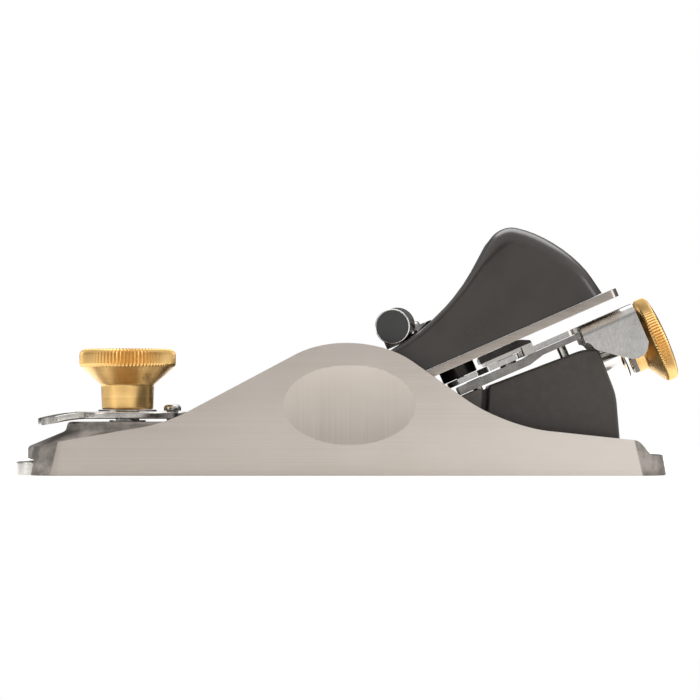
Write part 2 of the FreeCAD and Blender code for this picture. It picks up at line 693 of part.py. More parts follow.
# adjuster under the cutter
def add_depth_slide():
    body = piece("depth_slide", tilted=True)
    strip = draw(body, "slide_outline", "XZ_Plane", [
        ("65.6", "dim.slide_z"),
        ("65.6", "dim.slide_z + dim.slide_thick", "0.6"),
        ("109.4", "dim.slide_z + dim.slide_thick", "2.6"),
        ("109.4", "-19.5"),
        ("108.3", "-19.5"),
        ("108.3", "dim.slide_z", "0.2"),
    ])
    pad(body, "slide_strip", strip, "dim.slide_half * 2", Midplane=True)
    fork = draw(body, "fork_outline", "YZ_Plane", [
        ("-4.35", "-25"),
        ("4.35", "-25"),
        ("4.35", "dim.stud_z + 4.3", "4.3"),
        ("-4.35", "dim.stud_z + 4.3", "4.3"),
    ], rise="104")
    cut(body, "fork", fork, "10", Reversed=True)
    for name, distance in (("front", "dim.guide_front"), ("rear", "dim.guide_rear")):
        shank, head = ("shank", "1.26", "dim.slide_z - 1", "5"), ("head", "2.2", "-5.95", "2")
        for part, half, low, deep in (shank, head):
            run = box_corners(f"{distance} - 1.6 - {half}", f"{distance} + 1.6 + {half}",
                              half, f"{half} - 0.01")
            slot = draw(body, f"{name}_{part}_outline", "XY_Plane", run, rise=low)
            cut(body, f"{name}_{part}_slot", slot, deep, Reversed=True)
    bore = draw(body, "rivet_outline", "XY_Plane", circles=[("dim.pivot_x", "0", "2.22")], rise="-8")
    cut(body, "rivet_bore", bore, "5", Reversed=True)
    seat = draw(body, "rivet_seat_outline", "XY_Plane", circles=[("dim.pivot_x", "0", "3.25")], rise="-8")
    cut(body, "rivet_seat", seat, "1.85", Reversed=True)
    return body


def add_tooth_plate():
    body = piece("tooth_plate", tilted=True)
    side = draw(body, "tooth_plate_side", "XZ_Plane", [
        ("73.4", "-2.1", "0.3"),
        ("73.4", "-0.05", "0.6"),
        ("86", "-0.05"),
        ("87.2", "-1.1"),
        ("87.2", "-2.1"),
    ])
    pad(body, "tooth_blank", side, "15", Midplane=True)
    for name, sign in (("near_leg", "-"), ("far_leg", "")):
        foot = draw(body, name + "_outline", "XY_Plane", [
            ("84.4", f"{sign}5.6"),
            ("87.2", f"{sign}5.6"),
            ("87.2", f"{sign}7.5"),
            ("84.4", f"{sign}7.5"),
        ], rise="-4.55")
        pad(body, name, foot, "2.6")
    for i in range(2):
        place = f"dim.groove_x + {i + 1} * dim.groove_pitch"
        tooth = draw(body, f"tooth_{i + 1}_outline", "XY_Plane",
                     box_corners(f"{place} - 0.55", f"{place} + 0.55", "6"), rise="-0.4")
        pad(body, f"tooth_{i + 1}", tooth, "1.1")
    bore = draw(body, "rivet_outline", "XY_Plane", circles=[("dim.pivot_x", "0", "2.22")], rise="-3")
    cut(body, "rivet_bore", bore, "5", Reversed=True)
    return body


def add_lateral_lever():
    body = piece("lateral_lever", tilted=True)
    half_plan = [
        ("63.8", "3.6", "3"),
        ("72.2", "3.6", "1"),
        ("74", "7", "1.5"),
        ("82.6", "7", "1.5"),
        ("84", "4.6", "0.8"),
        ("97.6", "4.6", "1.5"),
        ("99.4", "9", "1"),
        ("100.4", "9"),
    ]
    near = [(corner[0], "-" + corner[1], *corner[2:]) for corner in half_plan]
    plan = draw(body, "lever_plan", "XY_Plane", near + half_plan[::-1], rise="dim.hood_z - dim.hood_thick")
    pad(body, "lever_plate", plan, "dim.hood_thick")
    outer, inner = "dim.hood_half", "dim.hood_half - dim.hood_thick"
    under = "dim.hood_z - dim.hood_thick"
    section = draw(body, "hood_section", "YZ_Plane", [
        (f"-({outer})", "-20"),
        (f"-({outer})", "dim.hood_z", "3"),
        (outer, "dim.hood_z", "3"),
        (outer, "-20"),
        (inner, "-20"),
        (inner, under, "1.6"),
        (f"-({inner})", under, "1.6"),
        (f"-({inner})", "-20"),
    ], rise="99.4")
    pad(body, "hood", section, "14.4")
    below = draw(body, "hood_side_outline", "XZ_Plane", [
        ("98", "-7.4"),
        ("99.9", "-7.4", "1.5"),
        ("101", "-10.2", "2"),
        ("109.2", "-16.4", "2.6"),
        ("112.2", "-16", "2"),
        ("113.9", "-13.4", "1.2"),
        ("116", "-13.4"),
        ("116", "-22"),
        ("98", "-22"),
    ])
    cut_through(body, "hood_sides", below)
    peg = draw(body, "roller_peg_outline", "XY_Plane", circles=[("dim.roller_x", "0", "1")], rise="-3.2")
    pad(body, "roller_peg", peg, "4.3")
    bore = draw(body, "pivot_outline", "XY_Plane",
                circles=[("dim.pivot_x", "0", "2.2 + dim.thread_gap")], rise="-6")
    cut(body, "pivot_bore", bore, "5", Reversed=True)
    return body


# cutter and lever cap
def add_cutter():
    body = piece("cutter", tilted=True)
    blank = draw(body, "cutter_outline", "XY_Plane", [
        ("0", "-dim.cutter_width / 2"),
        ("dim.cutter_length", "-dim.cutter_width / 2", "3"),
        ("dim.cutter_length", "dim.cutter_width / 2", "3"),
        ("0", "dim.cutter_width / 2"),
    ])
    pad(body, "cutter_blank", blank, "dim.cutter_thick")
    bevel = draw(body, "bevel_outline", "XZ_Plane", [
        ("-1", "0.05"),
        ("0", "0.05"),
        ("dim.bevel_length", "dim.cutter_thick"),
        ("dim.bevel_length", "dim.cutter_thick + 2"),
        ("-1", "dim.cutter_thick + 2"),
    ])
    cut_through(body, "ground_bevel", bevel)
    slot = draw(body, "slot_outline", "XY_Plane",
                box_corners("26", "76", "dim.cutter_slot / 2", "dim.cutter_slot / 2 - 0.01"), rise="-1")
    cut(body, "cutter_slot", slot, "5", Reversed=True)
    first = draw(body, "groove_outline", "XY_Plane",
                 box_corners("dim.groove_x - 0.75", "dim.groove_x + 0.75", "7"), rise="-1")
    groove = cut(body, "first_groove", first, "1.9", Reversed=True)
    row = body.newObject("PartDesign::LinearPattern", "groove_row")
    row.Originals = [groove]
    row.Direction = ([f for f in body.Origin.OriginFeatures if f.Role == "X_Axis"][0], [""])
    row.setExpression("Length", "dim.groove_pitch * 7")
    row.Occurrences = 8
    body.Tip = row
    doc.recompute()
    return body


def add_lever_cap():
    body = piece("lever_cap", tilted=True)
    side = draw(body, "cap_outline", "XZ_Plane", [
        ("12", "dim.cap_base"),
        ("12", "4.1"),
        ("71.4", "12.9", "50"),
        ("90.8", "28.3", "6"),
        ("104.6", "18.7", "29"),
        ("dim.cap_end", "dim.cap_base"),
    ])
    pad(body, "cap_block", side, "dim.cap_width", Midplane=True)
    half = "dim.cap_width / 2"
    dress(body, "Fillet", "cap_shoulders", "2.4",
          lambda at, edge: abs(abs(at.y) - worth(half)) < 0.01 and at.z > 4.6 and at.x > 14)
    hollow = draw(body, "hollow_outline", "XZ_Plane", [
        ("18", "0"),
        ("23", "3.3"),
        ("67", "9.3", "30"),
        ("90.2", "24.4", "4"),
        ("101.4", "16.6", "24"),
        ("104.5", "0"),
    ])
    cut(body, "cap_hollow", hollow, "dim.cap_width - 2 * dim.cap_wall", Midplane=True)
    wide = draw(body, "keyhole_wide_outline", "XY_Plane",
                circles=[("dim.cap_screw_x - 9", "0", "5.9")], rise="0")
    cut(body, "keyhole_wide", wide, "20", Reversed=True)
    narrow = draw(body, "keyhole_narrow_outline", "XY_Plane",
                  box_corners("dim.cap_screw_x - 9", "dim.cap_screw_x + 3.3", "3.3", "3.29"), rise="0")
    cut(body, "keyhole_narrow", narrow, "20", Reversed=True)
    seat = draw(body, "screw_seat_outline", "XY_Plane",
                circles=[("dim.cap_screw_x", "0", "6.2")], rise="8.05")
    cut(body, "screw_seat", seat, "8", Reversed=True)
    flat = draw(body, "cam_seat_outline", "XY_Plane", circles=[("dim.cam_x", "0", "8")], rise="dim.cam_top")
    cut(body, "cam_seat", flat, "12", Reversed=True)
    bore = draw(body, "cam_bore_outline", "XY_Plane",
                circles=[("dim.cam_x", "0", "2.4 + dim.thread_gap")], rise="4")
    cut(body, "cam_bore", bore, "12", Reversed=True)
    return body


def add_cam_lever():
    body = piece("cam_lever", tilted=True)
    disc = draw(body, "lever_disc_outline", "XY_Plane", circles=[("dim.cam_x", "0", "6.6")],
                rise="dim.cam_top + 0.05")
    pad(body, "lever_disc", disc, "2.45")
    arm = draw(body, "lever_arm_outline", "XY_Plane", box_corners("0", "12", "3.3"),
               rise="dim.cam_top + 0.9", swing="-90 - dim.cam_turn", shift=("dim.cam_x", "0"))
    pad(body, "lever_arm", arm, "1.6")
    thumb = draw(body, "thumb_outline", "XZ_Plane", circles=[("0", "dim.cam_top + 4.45", "dim.thumb_r")],
                 rise="9.6 * cos(dim.cam_turn)", swing="-dim.cam_turn",
                 shift=("dim.cam_x - 9.6 * sin(dim.cam_turn)", "0"))
    pad(body, "thumb_end", thumb, "9")
    bore = draw(body, "lever_bore_outline", "XY_Plane",
                circles=[("dim.cam_x", "0", "2.42")], rise="dim.cam_top - 1")
    cut(body, "lever_bore", bore, "8", Reversed=True)
    return body


def add_cam_face():
    body = turned("cam_face", [
        ("2.42", "3.6"), ("6.6", "3.6", "0.5"), ("6.6", "7.1", "0.3"), ("2.42", "7.1"),
    ], "bed", "dim.cam_x")
    step = draw(body, "cam_step_outline", "XZ_Plane", [
        ("-9", "2.6"), ("9", "2.6"), ("9", "3.4"), ("-9", "4.8"),
    ])
    cut_through(body, "cam_step", step)
    return body


# everything, checked and written
def check_and_write():
    doc.recompute()
    for thing in doc.Objects:
        if "Invalid" in thing.State or "Error" in thing.State:
            raise RuntimeError(f"{thing.Label} did not build")
    os.makedirs("parts", exist_ok=True)
    for body in pieces:
        shape = body.Shape
        if shape.isNull() or not shape.isValid() or len(shape.Solids) != 1:
            raise RuntimeError(f"{body.Label} is not one sound solid")
        shape.exportStep(f"parts/{body.Label}.step")
    print(f"{len(pieces)} pieces written")


add_casting()
add_turned_pieces()
add_throat_plate()
add_throat_lever()
add_depth_slide()
add_tooth_plate()
add_lateral_lever()
add_cutter()
add_lever_cap()
add_cam_lever()
add_cam_face()
check_and_write()
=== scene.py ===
import json
import math
import bmesh
import bpy
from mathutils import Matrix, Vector


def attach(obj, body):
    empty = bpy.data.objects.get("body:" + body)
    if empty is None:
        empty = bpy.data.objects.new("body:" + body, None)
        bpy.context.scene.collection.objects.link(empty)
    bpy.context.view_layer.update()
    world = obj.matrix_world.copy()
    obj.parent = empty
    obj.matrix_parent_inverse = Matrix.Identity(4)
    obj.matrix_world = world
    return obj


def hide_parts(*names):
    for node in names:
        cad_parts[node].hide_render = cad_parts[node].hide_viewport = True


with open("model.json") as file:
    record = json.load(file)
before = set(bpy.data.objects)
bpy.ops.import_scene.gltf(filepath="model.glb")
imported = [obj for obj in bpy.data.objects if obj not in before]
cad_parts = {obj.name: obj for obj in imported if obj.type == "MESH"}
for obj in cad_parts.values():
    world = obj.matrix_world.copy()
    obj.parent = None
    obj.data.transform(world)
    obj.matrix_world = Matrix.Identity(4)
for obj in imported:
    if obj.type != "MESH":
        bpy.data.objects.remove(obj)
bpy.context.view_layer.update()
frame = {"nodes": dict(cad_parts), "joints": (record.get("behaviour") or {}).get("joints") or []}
joints = {joint["name"]: joint for joint in frame["joints"]}
nodes = frame["nodes"]
mm = 0.001

# the bed's own directions: up the cutter, and square off it; its zero is the cutting edge
upBed = Vector(joints["depth_feed"]["axis"])
offBed = Vector(joints["cutter_tilt"]["axis"])
cuttingEdge = Vector(joints["cutter_tilt"]["pos_m"]) - upBed * 40 * mm - offBed * 1.05 * mm
upward, forward, across = Vector((0, 0, 1)), Vector((1, 0, 0)), Vector((0, 1, 0))
knobCentre = Vector(joints["toe_knob_turn"]["pos_m"])
knobCentre.z = 0
print("frame loaded:", len(nodes), "nodes")


def onBed(along, across, above):
    return cuttingEdge + (upBed * along + Vector((0, 1, 0)) * across + offBed * above) * mm


def onRow(x, y, z):
    return Vector((x, y, z)) * mm


studBelow = -13.8  # axis of the depth stud, from the cutter's lower face
wheelCentre = onBed(0, 0, studBelow)

# cam lever: a plate on the rivet and a round thumb end with a sunk face, its dark colour a painted reflection
# of the dark room
camSizes = {"turn": 11.0, "at": 60.0, "low": 11.05, "armLow": 11.9, "high": 13.5, "disc": 6.6, "armHalf": 3.3,
            "armEnd": 12.0, "bore": 2.42, "thumb": 4.4, "thumbAt": 15.45, "thumbFrom": 9.6, "thumbTo": 18.6}
camSide = math.radians(camSizes["turn"])
camWay = -upBed * math.sin(camSide) - Vector((0, 1, 0)) * math.cos(camSide)


def pickNothing():
    if bpy.context.object and bpy.context.object.mode != "OBJECT":
        bpy.ops.object.mode_set(mode="OBJECT")
    bpy.ops.object.select_all(action="DESELECT")


def pickOnly(piece):
    pickNothing()
    piece.select_set(True)
    bpy.context.view_layer.objects.active = piece


def editMesh(piece):
    pickOnly(piece)
    bpy.ops.object.mode_set(mode="EDIT")


def leaveMesh():
    bpy.ops.object.mode_set(mode="OBJECT")


def pickAll():
    bpy.ops.mesh.select_all(action="SELECT")


def pickParts(piece, test, kind="VERT"):
    # selects the vertices, edges or faces whose middle passes the test
    bpy.ops.mesh.select_mode(type=kind)
    bpy.ops.mesh.select_all(action="DESELECT")
    mesh = bmesh.from_edit_mesh(piece.data)
    group = {"VERT": mesh.verts, "EDGE": mesh.edges, "FACE": mesh.faces}[kind]
    found = 0
    for part in group:
        if kind == "VERT":
            middle = part.co
        elif kind == "EDGE":
            middle = (part.verts[0].co + part.verts[1].co) / 2
        else:
            middle = part.calc_center_median()
        if test(middle, part):
            part.select = True
            found += 1
    mesh.select_flush_mode()
    bmesh.update_edit_mesh(piece.data)
    return found


def traceLine(name, points):
    # one vertex, pushed from point to point
    pickNothing()
    bpy.ops.mesh.primitive_plane_add(size=mm)
    piece = bpy.context.object
    piece.name = name
    bpy.ops.object.mode_set(mode="EDIT")
    bpy.ops.mesh.select_mode(type="VERT")
    pickAll()
    bpy.ops.mesh.merge(type="CENTER")
    bpy.ops.transform.translate(value=points[0])
    for here, there in zip(points, points[1:]):
        bpy.ops.mesh.extrude_region_move(TRANSFORM_OT_translate={"value": there - here})
    return piece


def roundCorners(piece, corners, closed=True, step=7):
    # corners: (point, radius); each rounded one is bevelled by its tangent length
    count = len(corners)
    for i, (point, radius) in enumerate(corners):
        if radius <= 0 or (not closed and i in (0, count - 1)):
            continue
        back = corners[i - 1][0] - point
        ahead = corners[(i + 1) % count][0] - point
        turn = math.pi - back.angle(ahead)
        found = pickParts(piece, lambda at, part: (at - point).length < 5e-6)
        if found != 1:
            raise RuntimeError(f"{piece.name}: corner {i} found {found} times")
        pieces = max(2, round(math.degrees(turn) / step))
        bpy.ops.mesh.bevel(offset=radius * mm * math.tan(turn / 2), offset_type="OFFSET", segments=pieces,
                           profile=0.5, affect="VERTICES")


def cutSheet(name, corners, place, step=7):
    # a flat closed outline with rounded corners; place turns (a, b) into a point
    return sheetOf(name, [(place(c[0], c[1]), c[2] if len(c) > 2 else 0) for c in corners], step)


def sheetOf(name, spots, step=7):
    piece = traceLine(name, [spot[0] for spot in spots])
    pickParts(piece, lambda at, part: len(part.link_edges) == 1)
    bpy.ops.mesh.edge_face_add()
    pickAll()
    bpy.ops.mesh.edge_face_add()
    roundCorners(piece, spots, step=step)
    return piece


def thicken(piece, push):
    # the flat outline drawn out into a block
    bpy.ops.mesh.select_mode(type="FACE")
    pickAll()
    bpy.ops.mesh.extrude_region_move(TRANSFORM_OT_translate={"value": push})
    pickAll()
    bpy.ops.mesh.normals_make_consistent(inside=False)
    leaveMesh()
    return piece


def block(name, corners, place, push, step=7):
    return thicken(cutSheet(name, corners, place, step), push)


def turnShape(name, profile, centre, axis, outward, steps=64, step=9):
    # profile: (radius, height, rounding) from pole to pole, spun once round
    def place(radius, height):
        return centre + (outward * radius + axis * height) * mm
    spots = [(place(p[0], p[1]), p[2] if len(p) > 2 else 0) for p in profile]
    piece = traceLine(name, [spot[0] for spot in spots])
    roundCorners(piece, spots, closed=False, step=step)
    pickAll()
    bpy.ops.mesh.spin(steps=steps, angle=2 * math.pi, center=centre, axis=axis, use_normal_flip=False)
    pickAll()
    bpy.ops.mesh.remove_doubles(threshold=0.002 * mm)
    bpy.ops.mesh.normals_make_consistent(inside=False)
    leaveMesh()
    return piece


def ringProfile(profile):
    # a closed ring's profile ends where it starts
    return profile + [profile[0]]


def useModifier(piece, kind, **settings):
    pickOnly(piece)
    bpy.ops.object.modifier_add(type=kind)
    modifier = piece.modifiers[-1]
    for key, value in settings.items():
        setattr(modifier, key, value)
    bpy.ops.object.modifier_apply(modifier=modifier.name)
    return piece


def combine(piece, other, how):
    useModifier(piece, "BOOLEAN", operation=how, object=other, solver="EXACT")
    pickOnly(other)
    bpy.ops.object.delete()
    return piece


def softEdges(piece, width, segments=2, angle=30):
    return useModifier(piece, "BEVEL", width=width * mm, segments=segments, limit_method="ANGLE",
                       angle_limit=math.radians(angle), harden_normals=False, use_clamp_overlap=True)


def cleanFlats(piece):
    # joins the slivers that cuts leave on flat faces
    editMesh(piece)
    pickAll()
    bpy.ops.mesh.remove_doubles(threshold=0.001 * mm)
    bpy.ops.mesh.dissolve_limited(angle_limit=math.radians(0.3))
    leaveMesh()


def closeGaps(piece):
    # fills the hair-thin openings that a union leaves between flat faces
    editMesh(piece)
    pickAll()
    bpy.ops.mesh.fill_holes(sides=6)
    leaveMesh()


def copyOf(piece, name, shift):
    pickOnly(piece)
    bpy.ops.object.duplicate()
    twin = bpy.context.object
    twin.name = name
    bpy.ops.transform.translate(value=shift)
    bpy.ops.object.transform_apply(location=True, rotation=True, scale=True)
    return twin


def settle(piece, body, finish, stands, angle=32):
    # finished piece: origin at zero, smooth where it curves, on its body, in its finish
    pickOnly(piece)
    bpy.ops.object.transform_apply(location=True, rotation=True, scale=True)
    bpy.ops.object.shade_smooth_by_angle(angle=math.radians(angle))
    useModifier(piece, "WEIGHTED_NORMAL", keep_sharp=True)
    piece.data.materials.clear()
    piece.data.materials.append(finishes[finish])
    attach(piece, body)
    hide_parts(*stands)


class Wire:
    # a socket with ordinary arithmetic on it
    def __init__(self, finish, socket):
        self.finish = finish
        self.socket = socket

    def maths(self, operation, first, second=0.0):
        return self.finish.add("Math", {"operation": operation}, {0: first, 1: second})

    def __add__(self, other):
        return self.maths("ADD", self, other)

    def __sub__(self, other):
        return self.maths("SUBTRACT", self, other)

    def __rsub__(self, other):
        return self.maths("SUBTRACT", other, self)

    def __mul__(self, other):
        return self.maths("MULTIPLY", self, other)

    def __truediv__(self, other):
        return self.maths("DIVIDE", self, other)

    def __pow__(self, other):
        return self.maths("POWER", self, other)

    def __gt__(self, other):
        return self.maths("GREATER_THAN", self, other)

    def __lt__(self, other):
        return self.maths("LESS_THAN", self, other)

    def __abs__(self):
        return self.maths("ABSOLUTE", self)

    def atLeast(self, other):
        return self.maths("MAXIMUM", self, other)

    def atMost(self, other):
        return self.maths("MINIMUM", self, other)

    def fade(self, low, high, start=0.0, end=1.0):
        # 0 to 1 as the value goes from low to high
        return self.finish.add("MapRange", {"interpolation_type": "SMOOTHSTEP"},
                               {"Value": self, "From Min": low, "From Max": high,
                                "To Min": start, "To Max": end})

    __radd__ = __add__
    __rmul__ = __mul__


class Finish:
    def __init__(self, name, fixed):
        self.material = bpy.data.materials.new(name)
        self.material.use_nodes = True
        tree = self.material.node_tree
        self.nodes, self.links = tree.nodes, tree.links
        self.nodes.clear()
        self.out = self.nodes.new("ShaderNodeOutputMaterial")
        self.shader = self.nodes.new("ShaderNodeBsdfPrincipled")
        self.links.new(self.shader.outputs[0], self.out.inputs[0])
        for socket, value in fixed.items():
            self.shader.inputs[socket].default_value = value
        self.place = self.add("TexCoord", {}, {}, "Object")
        self.x, self.y, self.z = [self.add("SeparateXYZ", {}, {0: self.place}, axis) for axis in "XYZ"]

    def add(self, kind, settings, inputs, output=0):
        node = self.nodes.new("ShaderNode" + kind)
        for key, value in settings.items():
            setattr(node, key, value)
        for key, value in inputs.items():
            self.feed(node.inputs[key], value)
        return Wire(self, node.outputs[output]) if output is not None else node.inputs[0]

    def feed(self, socket, value):
        if isinstance(value, Wire):
            self.links.new(value.socket, socket)
        else:
            socket.default_value = value

    def set(self, socket, value):
        self.feed(self.shader.inputs[socket], value)

    def grain(self, stretch, size, detail=4, rough=0.6):
        # noise whose grain is drawn out: stretch is how often it varies along each axis
        spot = self.add("Mapping", {}, {"Vector": self.place, "Scale": stretch})
        return self.add("TexNoise", {}, {"Vector": spot, "Scale": size, "Detail": detail, "Roughness": rough})

    def along(self, centre, direction):
        # distance from a point in one direction
        shifted = self.add("VectorMath", {"operation": "SUBTRACT"}, {0: self.place, 1: centre})
        return self.add("VectorMath", {"operation": "DOT_PRODUCT"}, {0: shifted, 1: direction}, "Value")

    def tint(self, amount, first, second):
        # colour from first to second by amount
        return self.add("Mix", {"data_type": "RGBA"}, {0: amount, 6: colourOf(first), 7: colourOf(second)}, 2)

    def bump(self, height, distance, strength=1.0, under=None):
        inputs = {"Height": height, "Distance": distance * mm, "Strength": strength}
        if under is not None:
            inputs["Normal"] = under
        return self.add("Bump", {}, inputs)


def colourOf(value):
    if isinstance(value, Wire):
        return value
    return (*[linear(part) for part in value], 1)


def linear(part):
    # a shade from 0 to 255 as light
    part = part / 255
    return part / 12.92 if part <= 0.04045 else ((part + 0.055) / 1.055) ** 2.4


# two of these tones are painted light: a darker one for painted shade (toe end, dish tops) and a lighter one
# for painted light (heel end)
groundIron = {
    "light": (205, 196, 187), "dark": (192, 183, 174), "clean": (210, 202, 194), "paintedLight": (222, 214, 205),
    "paintedShade": (160, 151, 142), "castLight": (162, 154, 147), "castDark": (106, 100, 94),
    "paint": (70, 64, 59), "haze": (82, 76, 70), "rust": (150, 124, 106),
}


def makeGroundIron():
    made = Finish("groundIron", {"Metallic": 1.0, "Roughness": 0.36})
    x, y, z = made.x, made.y, made.z
    # ground in long passes from end to end, the finger dishes across them
    passes = made.grain((9, 9, 5200), 1.0, 5)
    fine = made.grain((30, 30, 14000), 1.0, 3)
    cloud = made.grain((60, 60, 60), 1.0, 3)
    dishPasses = made.grain((5600, 14, 24), 1.0, 5)
    dishX, dishZ = 0.7 * mm, 17.3 * mm
    ring = ((x - dishX) / (16.3 * mm)) ** 2 + ((z - dishZ) / (9.8 * mm)) ** 2
    dish = ring.fade(1.03, 0.97)
    lines = passes * 0.6 * (1 - dish) + fine * 0.4 * (1 - dish) + dishPasses * dish
    ground = made.tint(lines.fade(0.3, 0.7), groundIron["dark"], groundIron["light"])
    ground = made.tint(cloud.fade(0.35, 0.75) * 0.35, ground, groundIron["clean"])
    # painted shade towards the toe and painted light towards the heel: the side's lighting gradient painted
    # into the ground colour
    ground = made.tint(x.fade(25 * mm, -72 * mm) * 0.38, ground, groundIron["paintedShade"])
    ground = made.tint(x.fade(5 * mm, 66 * mm) * 0.55, ground, groundIron["paintedLight"])
    # painted shade: the upper half of each finger dish is darkened, the lower half left lighter
    ground = made.tint(dish * (z - dishZ).fade(-6 * mm, 8 * mm) * 0.25, ground, groundIron["paintedShade"])
    # bare casting at both ends and over the toe
    facing = made.add("NewGeometry", {}, {}, "Normal")
    rise = made.add("SeparateXYZ", {}, {0: facing}, "Z")
    sideways = abs(made.add("SeparateXYZ", {}, {0: facing}, "Y"))
    ends = (abs(x) + z * 0.24).fade(72.3 * mm, 72.9 * mm)
    toeTop = (x < -39.0 * mm) * rise.fade(0.25, 0.5).atLeast(abs(y) < 25.2 * mm) * (z > 4.5 * mm)
    tailTop = (x > 60.0 * mm) * rise.fade(0.25, 0.5)
    bare = ends.atLeast(toeTop).atLeast(tailTop * (abs(y) < 21.6 * mm))
    pits = made.grain((900, 900, 900), 1.0, 5, 0.7)
    blotch = made.grain((170, 170, 170), 1.0, 4)
    rough = made.tint(blotch.fade(0.35, 0.68), groundIron["castDark"], groundIron["castLight"])
    rough = made.tint(pits.fade(0.55, 0.8) * 0.5, rough, groundIron["castDark"])
    rough = made.tint(blotch.fade(0.66, 0.8) * 0.3, rough, groundIron["rust"])
    # dark enamel between the wings, behind the mouth
    inside = (abs(y) < 21.75 * mm) * (x > -40.45 * mm) * (z > 0.2 * mm)
    topOfWing = 1 - (rise.fade(0.2, 0.4) * (abs(y) > 21.72 * mm))
    inside = inside * topOfWing * (1 - bare * (x > 70 * mm))
    colour = made.tint(bare, ground, rough)
    peel = made.grain((420, 420, 420), 1.0, 3)
    enamel = made.tint(peel.fade(0.3, 0.8) * 0.4, groundIron["paint"], groundIron["haze"])
    colour = made.tint(inside, colour, enamel)
    made.set("Base Color", colour)
    shine = lines.fade(0.25, 0.75, 0.30, 0.44) + dish * 0.16
    shine = shine * (1 - bare) + blotch.fade(0.3, 0.7, 0.42, 0.62) * bare
    made.set("Roughness", shine * (1 - inside) + (peel * 0.06 + 0.19) * inside)
    made.set("Metallic", (1 - inside) * (1 - bare * 0.6))
    scratch = made.bump(lines, 0.01, 0.25)
    grit = (pits + blotch * 0.8) * bare + peel * 0.25 * inside
    made.set("Normal", made.bump(grit, 0.18, 0.55, scratch))
    return made.material


enamelFinish = {"deep": (40, 34, 29), "haze": (54, 47, 41)}


def makeEnamel():
    made = Finish("darkEnamel", {"Metallic": 0.0, "Coat Roughness": 0.1, "Coat Weight": 0.55, "IOR": 1.55})
    peel = made.grain((160, 160, 160), 1.0, 2)
    cloud = made.grain((70, 70, 70), 1.0, 4)
    made.set("Base Color", made.tint(cloud.fade(0.3, 0.75) * 0.6, enamelFinish["deep"], enamelFinish["haze"]))
    made.set("Roughness", cloud.fade(0.3, 0.7, 0.26, 0.34))
    made.set("Normal", made.bump(peel, 0.03, 0.2))
    return made.material


brassFinish = {"bright": (246, 206, 140), "deep": (232, 187, 114), "tarnish": (172, 128, 70)}


def makeBrass(name, centre, axis, outward):
    # turned brass: rings round the axis, tarnish in cloudy patches
    made = Finish(name, {"Metallic": 1.0})
    third = axis.cross(outward)
    height = made.along(centre, axis)
    radius = (made.along(centre, outward) ** 2 + made.along(centre, third) ** 2) ** 0.5
    spot = made.add("CombineXYZ", {}, {0: height * 5200, 1: radius * 5200, 2: 0.0})
    rings = made.add("TexNoise", {}, {"Vector": spot, "Scale": 1.0, "Detail": 3.0})
    cloud = made.grain((150, 150, 150), 1.0, 4)
    spots = made.grain((900, 900, 900), 1.0, 3)
    colour = made.tint(rings.fade(0.3, 0.7), brassFinish["deep"], brassFinish["bright"])
    colour = made.tint(cloud.fade(0.45, 0.8) * 0.35, colour, brassFinish["tarnish"])
    colour = made.tint(spots.fade(0.68, 0.8) * 0.25, colour, brassFinish["tarnish"])
    made.set("Base Color", colour)
    made.set("Roughness", cloud.fade(0.3, 0.75, 0.3, 0.4))
    made.set("Normal", made.bump(rings + spots * 0.3, 0.006, 0.3))
    return made.material


def makeSteel(name, dark, light, roughLow, roughHigh, stretch, lines, stain):
    # bright or ground steel; stretch sets the way of its fine lines
    made = Finish(name, {"Metallic": 1.0})
    passes = made.grain(stretch, 1.0, 4)
    cloud = made.grain((130, 130, 130), 1.0, 4)
    specks = made.grain((1500, 1500, 1500), 1.0, 2)
    colour = made.tint(passes.fade(0.3, 0.7), dark, light)
    colour = made.tint(cloud.fade(0.5, 0.8) * 0.35, colour, stain)
    colour = made.tint(specks.fade(0.7, 0.82) * 0.3, colour, stain)
    made.set("Base Color", colour)
    made.set("Roughness", cloud.fade(0.3, 0.7, roughLow, roughHigh))
    made.set("Normal", made.bump(passes + specks * 0.3, lines, 0.35))
    return made.material


def makeCamSteel():
    # bright all over but for the sunk face of the thumb end, painted dark as a painted reflection of the dark
    # room
    made = Finish("camLeverSteel", {"Coat Roughness": 0.1})
    end = onBed(camSizes["at"], 0, camSizes["thumbAt"]) + camWay * camSizes["thumbTo"] * mm
    shifted = made.add("VectorMath", {"operation": "SUBTRACT"}, {0: made.place, 1: end})
    depth = made.add("VectorMath", {"operation": "DOT_PRODUCT"}, {0: shifted, 1: camWay}, "Value")
    length = made.add("VectorMath", {"operation": "LENGTH"}, {0: shifted}, "Value")
    paintedEndMask = (depth > -0.9 * mm) * (length < 4.04 * mm)
    cloud = made.grain((200, 200, 200), 1.0, 3)
    specks = made.grain((1500, 1500, 1500), 1.0, 2)
    metal = made.tint(cloud.fade(0.4, 0.8) * 0.3, (222, 220, 217), (176, 172, 168))
    metal = made.tint(specks.fade(0.7, 0.82) * 0.2, metal, (150, 144, 138))
    # painted reflection: the end face is coloured near black for the dark room the chrome would mirror
    paintedDarkEnd = made.tint(cloud.fade(0.3, 0.7), (17, 18, 15), (26, 27, 23))
    made.set("Base Color", made.tint(paintedEndMask, metal, paintedDarkEnd))
    made.set("Metallic", 1 - paintedEndMask)
    made.set("Coat Weight", paintedEndMask * 0.35)
    made.set("Roughness", cloud.fade(0.3, 0.7, 0.1, 0.18) + paintedEndMask * 0.25)
    made.set("Normal", made.bump(cloud + specks * 0.2, 0.008, 0.3))
    return made.material


